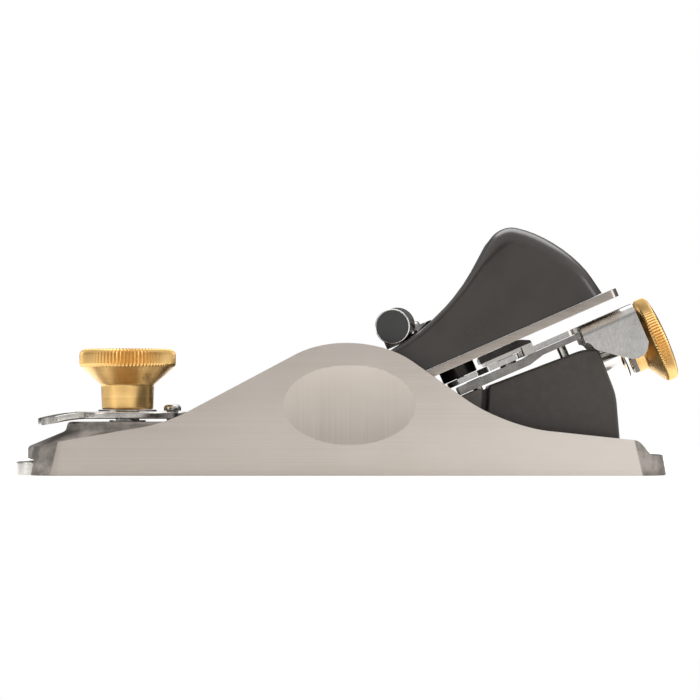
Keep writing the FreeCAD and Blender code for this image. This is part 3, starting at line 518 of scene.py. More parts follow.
def makeBlackSteel(name="blackSteel", brightBelow=None):
    # blacked steel; below a height over the bed it may be left bright
    made = Finish(name, {"Coat Weight": 0.3, "Coat Roughness": 0.2})
    cloud = made.grain((300, 300, 300), 1.0, 4)
    specks = made.grain((2200, 2200, 2200), 1.0, 2)
    colour = made.tint(cloud.fade(0.3, 0.7), (26, 24, 22), (48, 44, 41))
    colour = made.tint(specks.fade(0.68, 0.8) * 0.4, colour, (96, 86, 78))
    height = made.along(cuttingEdge, offBed)
    bright = height < (brightBelow if brightBelow is not None else -100) * mm
    made.set("Base Color", made.tint(bright, colour, (196, 192, 187)))
    made.set("Metallic", bright * 0.4 + 0.6)
    made.set("Roughness", cloud.fade(0.3, 0.7, 0.22, 0.4))
    made.set("Normal", made.bump(cloud + specks * 0.4, 0.03, 0.4))
    return made.material


# name, dark and light shade, lowest and highest roughness, stretch and depth of the fine lines, stain
steels = {
    "cutter": ("cutterSteel", (168, 158, 149), (186, 177, 168), 0.26, 0.36,
               (12, 12, 9000), 0.008, (140, 126, 114)),
    "plate": ("mouthSteel", (208, 206, 200), (222, 219, 213), 0.28, 0.4,
              (30, 1800, 1800), 0.01, (170, 162, 154)),
    "bright": ("brightPlate", (214, 212, 208), (228, 226, 223), 0.1, 0.17,
               (240, 240, 240), 0.006, (170, 164, 158)),
    "leverSteel": ("leverPlate", (184, 180, 174), (208, 204, 199), 0.16, 0.28,
                   (500, 500, 500), 0.01, (140, 132, 124)),
    "hoodSteel": ("hoodPlate", (206, 203, 199), (222, 220, 216), 0.16, 0.26,
                  (3000, 40, 900), 0.008, (170, 164, 158)),
    "slideSteel": ("slidePlate", (150, 147, 142), (176, 173, 168), 0.1, 0.2,
                   (300, 300, 300), 0.008, (160, 152, 146)),
    "plain": ("plainSteel", (170, 166, 160), (206, 202, 196), 0.18, 0.3,
              (900, 900, 900), 0.01, (120, 108, 98)),
}
finishes = {
    "body_casting": makeGroundIron(),
    "enamel": makeEnamel(),
    "knobBrass": makeBrass("turnedBrassKnob", knobCentre, Vector((0, 0, 1)), Vector((1, 0, 0))),
    "wheelBrass": makeBrass("turnedBrassWheel", wheelCentre, upBed, Vector((0, 1, 0))),
}
for key, values in steels.items():
    finishes[key] = makeSteel(*values)
finishes["camLever"] = makeCamSteel()
finishes["black"] = makeBlackSteel()
# tooth plate: blacked above this height, which also stands in as painted shade for the gap under the cutter;
# its own bright steel below
finishes["toothSteelShadedTop"] = makeBlackSteel("toothPlateShadedTop", brightBelow=-1.9)
nodeFinish = {
    "body_casting": "body_casting", "throat_plate": "plate", "knob_stud": "plain", "throat_lever": "bright",
    "throat_knob": "knobBrass", "knob_washer": "bright", "throat_cam_pin": "bright", "adjuster_stud": "plain",
    "guide_screw_front": "plain", "guide_screw_rear": "plain", "depth_slide": "bright",
    "tooth_plate": "black", "lever_rivet": "plain", "adjusting_wheel": "wheelBrass",
    "wheel_collar": "bright", "lateral_lever": "bright",
    "lateral_roller": "black", "cutter": "cutter", "lever_cap": "enamel", "cap_screw": "bright",
    "cam_lever": "bright", "cam_rivet": "plain", "cam_face": "plain",
}
for name, finish in nodeFinish.items():
    nodes[name].data.materials.clear()
    nodes[name].data.materials.append(finishes[finish])
print("finishes made")


def bedOf(point):
    # a point's place along the bed, across it and above it, in millimetres
    shift = point - cuttingEdge
    return shift.dot(upBed) / mm, shift.y / mm, shift.dot(offBed) / mm


def sideBlock(name, corners, half, step=7):
    return block(name, corners, lambda a, b: onBed(a, -half, b), across * 2 * half * mm, step)


def planBlock(name, corners, low, high, step=7):
    return block(name, corners, lambda a, b: onBed(a, b, low), offBed * (high - low) * mm, step)


def mirrored(halfPlan):
    near = [(corner[0], -corner[1], *corner[2:]) for corner in halfPlan]
    return near + halfPlan[::-1]


def rod(name, bottom, top, radius, sides=48):
    pickNothing()
    turn = (top - bottom).to_track_quat("Z", "Y").to_euler()
    bpy.ops.mesh.primitive_cylinder_add(vertices=sides, radius=radius * mm, depth=(top - bottom).length,
                                        location=(bottom + top) / 2, rotation=turn)
    bpy.context.object.name = name
    return bpy.context.object


def boreOut(piece, bottom, top, radius, sides=48):
    return combine(piece, rod("bore", bottom, top, radius, sides), "DIFFERENCE")


def slotOut(piece, start, end, half, low, high):
    # a round-ended slot along the bed
    bend = half - 0.01
    ends = [(start, -half, bend), (end, -half, bend), (end, half, bend), (start, half, bend)]
    return combine(piece, planBlock("slotCutter", ends, low, high), "DIFFERENCE")


# lever cap: hollow behind, its rear shoulders rounded far more than its front ones
capSizes = {
    "half": 20.2, "rounding": 4.6, "rounds": 6,
    "side": [(12, 2.3), (12, 4.1), (71.4, 12.9, 50), (90.8, 28.3, 6), (104.6, 18.7, 29), (107.6, 2.3)],
    "hollow": [(18, 0), (23, 3.3), (67, 9.3, 30), (90.2, 24.4, 4), (101.4, 16.6, 24), (104.5, 0)],
    "hollowHalf": 17.2,
    "keyhole": (31, 43.3, 5.9, 3.3), "screwSeat": (40, 6.2, 8.05),
    "camSeat": (60, 8.0, 11.0), "camBore": 2.46, "core": (75, 0, 8),
}


def shoulderAt(along, above):
    # rounding of the cap's side edge, by where it is on the outline
    if above < 2.4:
        return capSizes["rounding"] if along > 100 else 0.2
    if along < 12.5:
        return 0.4
    grown = min(max((along - 80) / 9, 0), 1)
    return 1.5 + (capSizes["rounding"] - 1.5) * grown * grown * (3 - 2 * grown)


def biggestFace(piece, side):
    # selects the flat outline that faces out on one side, and gives its vertices in order
    faces = bmesh.from_edit_mesh(piece.data).faces
    widest = max(len(face.verts) for face in faces)
    pickParts(piece, lambda at, face: len(face.verts) == widest and at.y * side > 0, "FACE")
    chosen = [face for face in bmesh.from_edit_mesh(piece.data).faces if face.select]
    return [vert.co.copy() for vert in chosen[0].verts]


def makeLeverCap():
    size = capSizes
    cap = sideBlock("leverCap", size["side"], size["half"] - size["rounding"], 5)
    editMesh(cap)
    for side in (-1, 1):
        rim = biggestFace(cap, side)
        count = len(rim)
        ways = []
        for i, spot in enumerate(rim):
            along, _, above = bedOf(spot)
            edge = (rim[(i + 1) % count] - rim[i - 1]).normalized()
            inward = edge.cross(across)
            if inward.dot(onBed(*size["core"]) - spot) <= 0:
                inward = across.cross(edge)
            if above < 2.4:
                inward = -upBed if along > 100 else upBed
            elif along < 12.5:
                inward = -offBed
            ways.append((inward.normalized(), shoulderAt(along, above)))
        now = list(rim)
        for level in range(size["rounds"] + 1):
            swing = math.radians(90) * level / size["rounds"]
            biggestFace(cap, side)
            bpy.ops.mesh.extrude_region_move(TRANSFORM_OT_translate={"value": across * side * 0.001 * mm})
            now = [spot + across * side * 0.001 * mm for spot in now]
            for i, (inward, radius) in enumerate(ways):
                out = size["half"] - radius * (1 - math.sin(swing))
                goal = rim[i] + inward * radius * (1 - math.cos(swing)) * mm
                goal.y = side * out * mm
                pickParts(cap, lambda at, part: (at - now[i]).length < 4e-7)
                bpy.ops.transform.translate(value=goal - now[i])
                now[i] = goal
    pickAll()
    bpy.ops.mesh.remove_doubles(threshold=0.01 * mm)
    bpy.ops.mesh.normals_make_consistent(inside=False)
    leaveMesh()
    combine(cap, sideBlock("hollowCutter", size["hollow"], size["hollowHalf"], 5), "DIFFERENCE")
    wide, narrowEnd, wideR, narrowR = size["keyhole"]
    boreOut(cap, onBed(wide, 0, 0), onBed(wide, 0, 20), wideR)
    slotOut(cap, wide - narrowR, narrowEnd, narrowR, 0, 20)
    screwAt, screwR, screwLow = size["screwSeat"]
    boreOut(cap, onBed(screwAt, 0, screwLow), onBed(screwAt, 0, 20), screwR)
    camAt, camR, camLow = size["camSeat"]
    boreOut(cap, onBed(camAt, 0, camLow), onBed(camAt, 0, 24), camR)
    boreOut(cap, onBed(camAt, 0, 4), onBed(camAt, 0, 16), size["camBore"])
    cleanFlats(cap)
    settle(cap, "cap", "enamel", ["lever_cap"], 28)


# turned brass: knob and wheel, straight ridges round their rims
knobSizes = {
    "teeth": 80, "valley": 0.46, "rim": (27.2, 31.66), "innermost": 10.9,
    "profile": [(0, 26.4), (3.06, 26.4), (3.06, 16.3), (6.5, 16.3, 0.5), (6.7, 22.5, 1.0), (11.7, 27.0, 0.5),
                (12.2, 27.7, 0.4), (12.2, 31.55, 1.5), (0, 31.7)],
}
wheelSizes = {
    "teeth": 88, "valley": 0.34, "rim": (115.2, 118.7), "innermost": 9.7,
    "profile": [(2.96, 107), (4.2, 107), (4.2, 109.4), (6, 109.4, 0.4), (6.2, 112.4, 1), (10.4, 115.1, 0.5),
                (11, 115.8, 0.4), (11, 118.3, 1.0), (8.8, 118.8, 1), (2.96, 118.9)],
}


def ridgeRim(piece, size, centre, axis, outward):
    # every column between two crests is drawn in toward the axis
    third = axis.cross(outward)
    low, high = size["rim"]
    middle = (low + high) / 2
    columns = size["teeth"] * 4

    def inColumn(at, phase):
        shift = (at - centre) / mm
        height = shift.dot(axis)
        radial = shift - axis * height
        turn = math.atan2(radial.dot(third), radial.dot(outward)) / (2 * math.pi) * columns
        return low < height < high and radial.length > size["innermost"] and round(turn) % 4 == phase
    editMesh(piece)
    for phase, share in ((1, 0.42), (2, 1.0), (3, 0.42)):
        pickParts(piece, lambda at, part: inColumn(at, phase))
        shrink = 1 - size["valley"] * share / size["innermost"]
        bpy.ops.transform.resize(value=(shrink, shrink, shrink), center_override=centre + axis * middle * mm)
    leaveMesh()


def makeKnob():
    size = knobSizes
    knob = turnShape("throatKnob", size["profile"], knobCentre, upward, forward, size["teeth"] * 4, 15)
    ridgeRim(knob, size, knobCentre, upward, forward)
    settle(knob, "toe_knob", "knobBrass", ["throat_knob"], 40)


def makeWheel():
    size = wheelSizes
    wheel = turnShape("adjustingWheel", ringProfile(size["profile"]), wheelCentre, upBed, across,
                      size["teeth"] * 4, 15)
    ridgeRim(wheel, size, wheelCentre, upBed, across)
    settle(wheel, "wheel", "wheelBrass", ["adjusting_wheel"], 40)


def makeCollar():
    collar = turnShape("wheelCollar", ringProfile(pinSizes["collar"]), wheelCentre, upBed, across, 72)
    settle(collar, "wheel", "bright", ["wheel_collar"])


# threads are cut as rings
studSizes = {"radius": 2.9, "core": 2.7, "start": 88.0, "end": 117.0, "threadFrom": 106.6, "pitch": 0.9}


def makeStud():
    size = studSizes
    profile = [(0, size["start"]), (size["radius"], size["start"])]
    height = size["threadFrom"]
    while height < size["end"] - 1.4:
        profile += [(size["radius"], height), (size["core"], height + size["pitch"] * 0.5)]
        height += size["pitch"]
    profile += [(size["radius"], size["end"] - 1.2), (size["radius"], size["end"], 0.7), (0, size["end"])]
    stud = turnShape("adjusterStud", profile, wheelCentre, upBed, across, 40)
    settle(stud, "plane_body", "bright", ["adjuster_stud"], 24)


# small screws and pins: turned, with a driver slot where they have one
pinSizes = {
    "camPinAt": -44.2, "screwAt": 40, "rivetAt": 60, "rollerAt": 67.6,
    "camPin": [(0, 7.1), (1.5, 7.1), (1.5, 15.95), (2.2, 15.95, 0.15), (2.2, 17.5, 1.0), (0, 17.5)],
    "washer": [(3.1, 15.8), (7.4, 15.8, 0.1), (7.4, 16.25, 0.2), (3.1, 16.25)],
    "screw": [(0, -12), (3, -12, 0.5), (3, 8.1), (5.4, 8.1, 0.2), (5.4, 9.2, 0.5),
              (3.4, 10.1, 1.5), (0, 10.25)],
    "driver": {"top": 10.3, "deep": 1.1, "width": 1.1, "reach": 7},
    "rivet": [(0, 6), (2.4, 6), (2.4, 13.6), (3.6, 13.6, 0.1), (3.6, 14.7, 0.75), (0, 14.7)],
    "roller": [(1.06, -2.85), (4.6, -2.85, 0.3), (4.6, 1.2, 0.5), (1.06, 1.2)],
    "collar": [(4.23, 107), (6.5, 107, 0.35), (6.5, 108.2, 0.25), (4.23, 108.2, 0.1)],
}


def driverSlot(piece, centre, axis, outward, top, deep, width, reach):
    side = axis.cross(outward)
    corners = [(-reach, -width / 2), (reach, -width / 2), (reach, width / 2), (-reach, width / 2)]
    place = lambda a, b: centre + (outward * a + side * b + axis * (top - deep)) * mm
    return combine(piece, block("driverSlot", corners, place, axis * (deep + 1) * mm), "DIFFERENCE")


def makePins():
    size = pinSizes
    pin = turnShape("throatCamPin", size["camPin"], onRow(size["camPinAt"], 0, 0), upward, forward, 40)
    settle(pin, "plane_body", "plain", ["throat_cam_pin"])
    washer = turnShape("knobWasher", ringProfile(size["washer"]), knobCentre, upward, forward, 64)
    settle(washer, "toe_knob", "plain", ["knob_washer"])
    screwAt = onBed(size["screwAt"], 0, 0)
    screw = turnShape("capScrew", size["screw"], screwAt, offBed, upBed, 64)
    driverSlot(screw, screwAt, offBed, upBed, **size["driver"])
    settle(screw, "screw", "bright", ["cap_screw"])
    rivet = turnShape("camRivet", size["rivet"], onBed(size["rivetAt"], 0, 0), offBed, upBed, 48)
    settle(rivet, "cam", "plain", ["cam_rivet"])


def makeCamLever():
    size = camSizes
    centre = onBed(size["at"], 0, 0)
    cross = offBed.cross(camWay)
    lever = turnShape("camLever", ringProfile([(size["bore"], size["low"]), (size["disc"], size["low"]),
                                               (size["disc"], size["high"]), (size["bore"], size["high"])]),
                      centre, offBed, upBed, 72)
    half = size["armHalf"]
    corners = [(4.5, -half), (size["armEnd"], -half), (size["armEnd"], half), (4.5, half)]
    place = lambda a, b: centre + (camWay * a + cross * b + offBed * size["armLow"]) * mm
    arm = block("camArm", corners, place, offBed * (size["high"] - size["armLow"]) * mm)
    combine(lever, arm, "UNION")
    softEdges(lever, 0.3, 3, 40)
    radius, near, far = size["thumb"], size["thumbFrom"], size["thumbTo"]
    profile = [(0, near), (radius, near, 0.8), (radius, far, 0.35), (radius - 0.3, far, 0.1),
               (radius - 0.42, far - 0.3, 0.1), (0, far - 0.3)]
    thumb = turnShape("thumbEnd", profile, centre + offBed * size["thumbAt"] * mm, camWay, cross, 72)
    combine(lever, thumb, "UNION")
    settle(lever, "cam", "camLever", ["cam_lever"], 35)


# mouth lever: a flat disc with a lobe round its slot, and an arm that droops toward the toe
throatSizes = {
    "turn": 20.0, "low": 13.9, "high": 15.7, "disc": 13.6, "lobe": (8.6, 15.0, 7.6), "bore": 3.08,
    "armHalf": 4.8,
    "arm": [(-8, 13.93), (-8, 15.67), (-14.6, 15.67, 36), (-22.9, 14.0), (-22.9, 12.26), (-14.4, 13.93, 34)],
    "slotAt": 11.4, "slotPitch": 3.0, "slotWidth": 3.3, "slotTurn": 55.0,
}
throatSide = math.radians(throatSizes["turn"])
leverWay = Vector((math.cos(throatSide), math.sin(throatSide), 0))
leverCross = Vector((-math.sin(throatSide), math.cos(throatSide), 0))


def onLever(a, b, height):
    return knobCentre + (leverWay * a + leverCross * b + Vector((0, 0, height))) * mm


def makeThroatLever():
    size = throatSizes
    low, high, half = size["low"], size["high"], size["armHalf"]

    def rounded(radius, sink):
        bottom, top = low + sink, high - sink
        return [(0, bottom), (radius, bottom, 0.4), (radius, top, 0.5), (0, top)]
    lever = turnShape("throatLever", rounded(size["disc"], 0), knobCentre, upward, forward, 96)
    lobeReach, lobeTurn, lobeR = size["lobe"]
    swing = math.radians(lobeTurn)
    lobeCentre = knobCentre + (forward * math.cos(swing) + across * math.sin(swing)) * lobeReach * mm
    lobe = turnShape("lobe", rounded(lobeR, 0.015), lobeCentre, upward, forward, 72)
    combine(lever, lobe, "UNION")
    arm = block("leverArm", size["arm"], lambda a, b: onLever(a, -half, b), leverCross * 2 * half * mm, 4)
    softEdges(arm, 0.4, 3, 50)
    tip = [(-30, -9), (-17, -9), (-17, -half), (-22.9, -half, 4),
           (-22.9, half, 4), (-17, half), (-17, 9), (-30, 9)]
    cutter = block("tipCutter", tip, lambda a, b: onLever(a, b, low - 4), upward * 9 * mm)
    combine(arm, cutter, "DIFFERENCE")
    combine(lever, arm, "UNION")
    boreOut(lever, onLever(0, 0, low - 1), onLever(0, 0, high + 1), size["bore"])
    # the slot's middle line is an arc whose distance from the knob grows as the lever turns
    reach, pitch, wide = size["slotAt"], size["slotPitch"], size["slotWidth"] / 2
    slant = math.hypot(reach, pitch)
    bend = slant ** 3 / (reach ** 2 + 2 * pitch ** 2)
    centre = knobCentre + (forward * (reach - bend * reach / slant) + across * (bend * pitch / slant)) * mm
    rest = (knobCentre + forward * reach * mm - centre) / mm
    middle = math.atan2(rest.y, rest.x) + math.radians(1.2)
    sweep = math.radians(size["slotTurn"])
    start = middle - sweep / 2
    ends = wide / bend * 0.98
    turns = [start - ends] + [start + sweep * i / 8 for i in range(9)] + [start + sweep + ends]
    arcPoint = lambda radius, turn: (radius * math.cos(turn), radius * math.sin(turn))
    outer = [arcPoint(bend + wide, turn) for turn in turns]
    inner = [arcPoint(bend - wide, turn) for turn in reversed(turns)]
    band = []
    for side in (outer, inner):
        band += [(*side[0], wide * 0.8), *side[1:-1], (*side[-1], wide * 0.8)]
    place = lambda a, b: centre + (forward * a + across * b + upward * (low - 1)) * mm
    cutter = block("slotBand", band, place, upward * (high - low + 2) * mm)
    combine(lever, cutter, "DIFFERENCE")
    cleanFlats(lever)
    settle(lever, "mouth_lever", "leverSteel", ["throat_lever"], 35)


# depth slide: a strip with a set in it under the lateral lever, and a fork turned down round the stud
slideSizes = {
    "half": 7.5,
    "side": [(65.6, -7), (65.6, -4.9, 0.5), (84.2, -4.9, 2), (86.6, -4.6, 2), (109.4, -4.6, 2.6),
             (109.4, -19.5), (108.3, -19.5), (108.3, -6.0, 1.2), (88.6, -6.0, 2.5), (84.6, -7, 2.5)],
    "fork": [(-4.35, -25), (4.35, -25), (4.35, -9.5, 4.3), (-4.35, -9.5, 4.3)],
    "guides": (70.5, 94.0), "rivet": 80.0,
}


def makeDepthSlide():
    size = slideSizes
    slide = sideBlock("depthSlide", size["side"], size["half"], 6)
    fork = block("forkCutter", size["fork"], lambda a, b: onBed(104, a, b), upBed * 10 * mm)
    combine(slide, fork, "DIFFERENCE")
    for guide in size["guides"]:
        slotOut(slide, guide - 2.86, guide + 2.86, 1.26, -8, -4)
    boreOut(slide, onBed(size["rivet"], 0, -9), onBed(size["rivet"], 0, -3), 2.22)
    boreOut(slide, onBed(size["rivet"], 0, -9), onBed(size["rivet"], 0, -6.15), 3.25)
    settle(slide, "carriage", "slideSteel", ["depth_slide"], 35)


toothSizes = {
    "side": [(73.4, -2.1, 0.3), (73.4, -0.05, 0.9), (84.6, -0.05, 2), (87.2, -1.3, 0.6), (87.2, -2.1, 0.2)],
    "half": 7.5, "legs": (84.4, 87.2, 5.6), "legLow": -4.55, "teeth": (81.2, 83.6), "toothHalf": 0.55,
    "toothWidth": 6.0, "toothTop": 0.7, "pad": (74.2, 84.1, 6.8, -2.88),
}


def makeToothPlate():
    size = toothSizes
    plate = sideBlock("toothPlate", size["side"], size["half"], 8)
    start, end, inner = size["legs"]
    for sign in (-1, 1):
        near, far = sign * inner, sign * size["half"]
        corners = [(start, near), (end, near), (end, far), (start, far)]
        combine(plate, planBlock("leg", corners, size["legLow"], -1.8), "UNION")
    padStart, padEnd, padHalf, padLow = size["pad"]
    corners = mirrored([(padStart, padHalf), (padEnd, padHalf)])
    combine(plate, planBlock("pad", corners, padLow, -1.7), "UNION")
    half, wide = size["toothHalf"], size["toothWidth"]
    for at in size["teeth"]:
        corners = mirrored([(at - half, wide), (at + half, wide)])
        combine(plate, planBlock("tooth", corners, -0.4, size["toothTop"]), "UNION")
    boreOut(plate, onBed(80, 0, -3), onBed(80, 0, 2), 2.22)
    softEdges(plate, 0.15, 2, 50)
    settle(plate, "carriage", "toothSteelShadedTop", ["tooth_plate"], 35)


# lateral lever: flat strip, widening into a hood folded down on both sides
lateralSizes = {
    "plan": [(63.8, 3.6, 3), (72.2, 3.6, 1), (74, 7, 1.5), (82.6, 7, 1.5), (84, 4.6, 0.8), (97.7, 4.6, 1.5),
             (99.8, 9, 1), (100.6, 9)],
    "top": -3.0, "sheet": 1.4, "half": 12.0, "from": 99.4, "to": 113.8, "outer": 3.0, "inner": 1.6,
    "below": [(98, -7.4), (99.9, -7.4, 1.5), (101, -10.2, 2), (109.2, -16.4, 2.6), (112.2, -16, 2),
              (113.9, -13.4, 1.2), (116, -13.4), (116, -22), (98, -22)],
    "peg": (67.6, 1.0, -3.2, 1.1), "bore": (80.0, 2.26),
}


def makeLateralLever():
    size = lateralSizes
    top, under = size["top"], size["top"] - size["sheet"]
    lever = planBlock("lateralLever", mirrored(size["plan"]), under, top, 10)
    outer, inner = size["half"], size["half"] - size["sheet"]
    section = [(-outer, -20), (-outer, top, size["outer"]), (outer, top, size["outer"]), (outer, -20),
               (inner, -20), (inner, under, size["inner"]), (-inner, under, size["inner"]), (-inner, -20)]
    run = upBed * (size["to"] - size["from"]) * mm
    hood = block("hood", section, lambda a, b: onBed(size["from"], a, b), run, 8)
    combine(hood, sideBlock("hoodTrim", size["below"], 20, 8), "DIFFERENCE")
    combine(lever, hood, "UNION")
    peg, pegR, pegLow, pegHigh = size["peg"]
    combine(lever, rod("rollerPeg", onBed(peg, 0, pegLow), onBed(peg, 0, pegHigh), pegR), "UNION")
    boreAt, boreR = size["bore"]
    boreOut(lever, onBed(boreAt, 0, -6), onBed(boreAt, 0, -1), boreR)
    softEdges(lever, 0.2, 2, 40)
    cleanFlats(lever)
    closeGaps(lever)
    settle(lever, "lateral", "hoodSteel", ["lateral_lever"], 35)


def makeRoller():
    rollerAt = onBed(pinSizes["rollerAt"], 0, 0)
    roller = turnShape("lateralRoller", ringProfile(pinSizes["roller"]), rollerAt, offBed, upBed, 64)
    settle(roller, "roller", "black", ["lateral_roller"])


# cutter: bevel ground at the front, slotted, with cross grooves under its rear half
cutterSizes = {"half": 20.5, "long": 111.0, "thick": 2.1, "corner": 3.0, "bevel": 4.6, "slot": (26, 76, 4.8),
               "groove": 78.8, "pitch": 2.4, "count": 8, "grooveHalf": 0.75, "grooveWidth": 7.0}


def makeCutter():
    size = cutterSizes
    half, thick, end, corner = size["half"], size["thick"], size["long"], size["corner"]
    plan = [(0, -half), (end, -half, corner), (end, half, corner), (0, half)]
    cutter = planBlock("cutterBlade", plan, 0, thick)
    wedge = [(-1, 0.05), (0, 0.05), (size["bevel"], thick), (size["bevel"], thick + 2), (-1, thick + 2)]
    softEdges(cutter, 0.12, 2, 60)
    combine(cutter, sideBlock("bevelCutter", wedge, half + 2), "DIFFERENCE")
    start, end, slotHalf = size["slot"]
    slotOut(cutter, start, end, slotHalf, -1, thick + 1)
    first, reach, wide = size["groove"], size["grooveHalf"], size["grooveWidth"]
    corners = mirrored([(first - reach, wide), (first + reach, wide)])
    groove = planBlock("grooveCutter", corners, -1, 0.9)
    row = [copyOf(groove, "grooveCopy", upBed * i * size["pitch"] * mm) for i in range(1, size["count"])]
    for grooveCutter in [groove] + row:
        combine(cutter, grooveCutter, "DIFFERENCE")
    cleanFlats(cutter)
    settle(cutter, "blade", "cutter", ["cutter"], 35)


# mouth plate
plateSizes = {
    "high": 3.2, "stud": 4.62,
    "plan": [(-84.4, 0, 60), (-80.8, -21, 4), (-35.8, -21), (-35.8, 21), (-80.8, 21, 4)],
    "mouth": [(-39.0, 3.3), (-35.7, 1.1), (-33.8, 1.1), (-33.8, 3.3)],
}


def makeThroatPlate():
    size = plateSizes
    plate = block("throatPlate", size["plan"], lambda a, b: onRow(a, b, 0), upward * size["high"] * mm, 6)
    mouth = block("mouthCutter", size["mouth"], lambda a, b: onRow(a, -25, b), across * 50 * mm)
    combine(plate, mouth, "DIFFERENCE")
    boreOut(plate, knobCentre + upward * 0.97 * mm, knobCentre + upward * 7 * mm, size["stud"])
    softEdges(plate, 0.22, 2, 50)
    settle(plate, "mouth_slide", "plate", ["throat_plate"], 35)


# casting: leaning ends, wings cut from above, a hollow between them, then the toe boss, bed and post
castingSizes = {
    "plan": [(-81.4, 0, 60), (-77.6, -25.4, 8), (77.6, -25.4, 8),
             (81.4, 0, 60), (77.6, 25.4, 8), (-77.6, 25.4, 8)],
    "high": 40.0, "lean": 74.4 / 81.4,
    "wing": [(-100, 2.9), (-70.2, 8.4, 3), (-44.2, 12.9, 35), (2.5, 37.7, 27.5), (38.6, 12.1, 42),
             (71.6, 8.6, 2.4), (75, 4.9, 1.6), (100, 4.9), (100, 60), (-100, 60)],
    "trough": [(-40.4, -21.4, 2), (73, -21.4, 6), (73, 21.4, 6), (-40.4, 21.4, 2)], "sole": 4.0,
    "boss": [(0, 3.95), (25.1, 3.95), (25.1, 6.9, 1.2), (15.6, 10.9, 1.2), (15.0, 13.2, 1.0), (0, 13.2)],
    "mouth": [(-40.4, -21.1), (-33.7, -21.1), (-33.7, 21.1), (-40.4, 21.1)],
    "clearance": [(-52, -21.4), (-39.4, -21.4), (-39.4, 21.4), (-52, 21.4)],
    "channel": [(-100, -21.1), (-33.7, -21.1), (-33.7, 21.1), (-100, 21.1)],
    "studSlot": [(-62.8, -4.7, 4.69), (-49.4, -4.7, 4.69), (-49.4, 4.7, 4.69), (-62.8, 4.7, 4.69)],
    "post": [(34.4, 3), (35.6, 22.2, 0.8), (59.3, 31.2, 1.5), (63.2, 31.6, 1.2), (67.7, 20, 14), (69.1, 3)],
    "web": [(30, 3), (37, 3), (37, 22.2), (30, 19.4)], "postHalf": 8.0, "webHalf": 3.5, "rampHalf": 21.7,
    "ramp": [(3.6, -0.05), (61, -0.05), (62.2, -7.4, 2.2), (70.6, -7.4)],
    "rampFoot": [(31.9, 3), (-31.6, 3), (-31.6, 0.9)],
    "holes": [(40, 3.06, -13, 1), (70.5, 1.26, -10.6, -6), (94, 1.26, -10.6, -5)],
    "studHole": (84, 112, 2.96), "pinHole": (-44.2, 1.86, 7, 20), "channelHigh": 3.9, "bossTop": 13.2,
    "dish": (0.7, 17.3, 16.4, 9.9, 1.0),
}


def rowPlan(name, corners, low, high, step=7):
    return block(name, corners, lambda a, b: onRow(a, b, low), upward * (high - low) * mm, step)


def rowSide(name, corners, half, step=7):
    return block(name, corners, lambda a, b: onRow(a, -half, b), across * 2 * half * mm, step)


def dishCutter(size, side):
    # a flattened ball that meets the side in the dish's rim
    x, z, halfX, halfZ, deep = size["dish"]
    bulge = 6.0
    share = math.sqrt(1 - ((bulge - deep) / bulge) ** 2)
    pickNothing()
    bpy.ops.mesh.primitive_uv_sphere_add(segments=192, ring_count=96, radius=mm)
    ball = bpy.context.object
    bpy.ops.object.mode_set(mode="EDIT")
    pickAll()
    bpy.ops.transform.resize(value=(halfX / share, bulge, halfZ / share))
    bpy.ops.transform.translate(value=onRow(x, side * (25.4 + bulge - deep), z))
    leaveMesh()
    return ball


def makeCasting():
    size = castingSizes
    casting = rowPlan("bodyCasting", size["plan"], 0, size["high"], 5)
    editMesh(casting)
    pickParts(casting, lambda at, part: at.z > (size["high"] - 1) * mm)
    bpy.ops.transform.resize(value=(size["lean"], 1, 1), center_override=onRow(0, 0, size["high"]))
    leaveMesh()
    combine(casting, rowSide("wingCutter", size["wing"], 30, 2.5), "DIFFERENCE")
    softEdges(casting, 0.35, 2, 55)
    boss = turnShape("toeBoss", size["boss"], knobCentre, upward, forward, 120)
    combine(casting, boss, "UNION")
    combine(casting, rowPlan("troughCutter", size["trough"], size["sole"], 70), "DIFFERENCE")
    combine(casting, rowPlan("mouthOpening", size["mouth"], -1, 5), "DIFFERENCE")
    combine(casting, rowPlan("toeClearance", size["clearance"], size["bossTop"], 50), "DIFFERENCE")
    half = size["rampHalf"]
    along = [(onBed(p[0], -half, p[1]), p[2] if len(p) > 2 else 0) for p in size["ramp"]]
    foot = [(onRow(p[0], -half, p[1]), 0) for p in size["rampFoot"]]
    ramp = thicken(sheetOf("bedRamp", along + foot), across * 2 * half * mm)
    combine(casting, ramp, "UNION")
    combine(casting, rowSide("postWeb", size["web"], size["webHalf"]), "UNION")
    post = softEdges(rowSide("adjusterPost", size["post"], size["postHalf"], 4), 0.8, 4, 40)
    combine(casting, post, "UNION")
    above = [(-3, -0.05), (20, -0.05), (20, 6), (-3, 6)]
    combine(casting, sideBlock("aboveBed", above, 21.4), "DIFFERENCE")
    combine(casting, rowPlan("plateChannel", size["channel"], -1, size["channelHigh"]), "DIFFERENCE")
    combine(casting, rowPlan("studSlot", size["studSlot"], 2, 30), "DIFFERENCE")
    pinAt, pinR, pinLow, pinHigh = size["pinHole"]
    boreOut(casting, onRow(pinAt, 0, pinLow), onRow(pinAt, 0, pinHigh), pinR)
    for at, radius, low, high in size["holes"]:
        boreOut(casting, onBed(at, 0, low), onBed(at, 0, high), radius)
    start, end, radius = size["studHole"]
    boreOut(casting, onBed(start, 0, studBelow), onBed(end, 0, studBelow), radius)
    for side in (-1, 1):
        combine(casting, dishCutter(size, side), "DIFFERENCE")
    settle(casting, "plane_body", "body_casting", ["body_casting"], 30)


makeCasting()
print("casting made")
makeLeverCap()
makeKnob()
makeWheel()
makeCollar()
makeStud()
makePins()
print("cap, knob, wheel and screws made")
makeCamLever()
makeThroatLever()
makeDepthSlide()
makeToothPlate()
makeLateralLever()
makeRoller()
makeCutter()
makeThroatPlate()
print("levers, slide, cutter and mouth plate made")

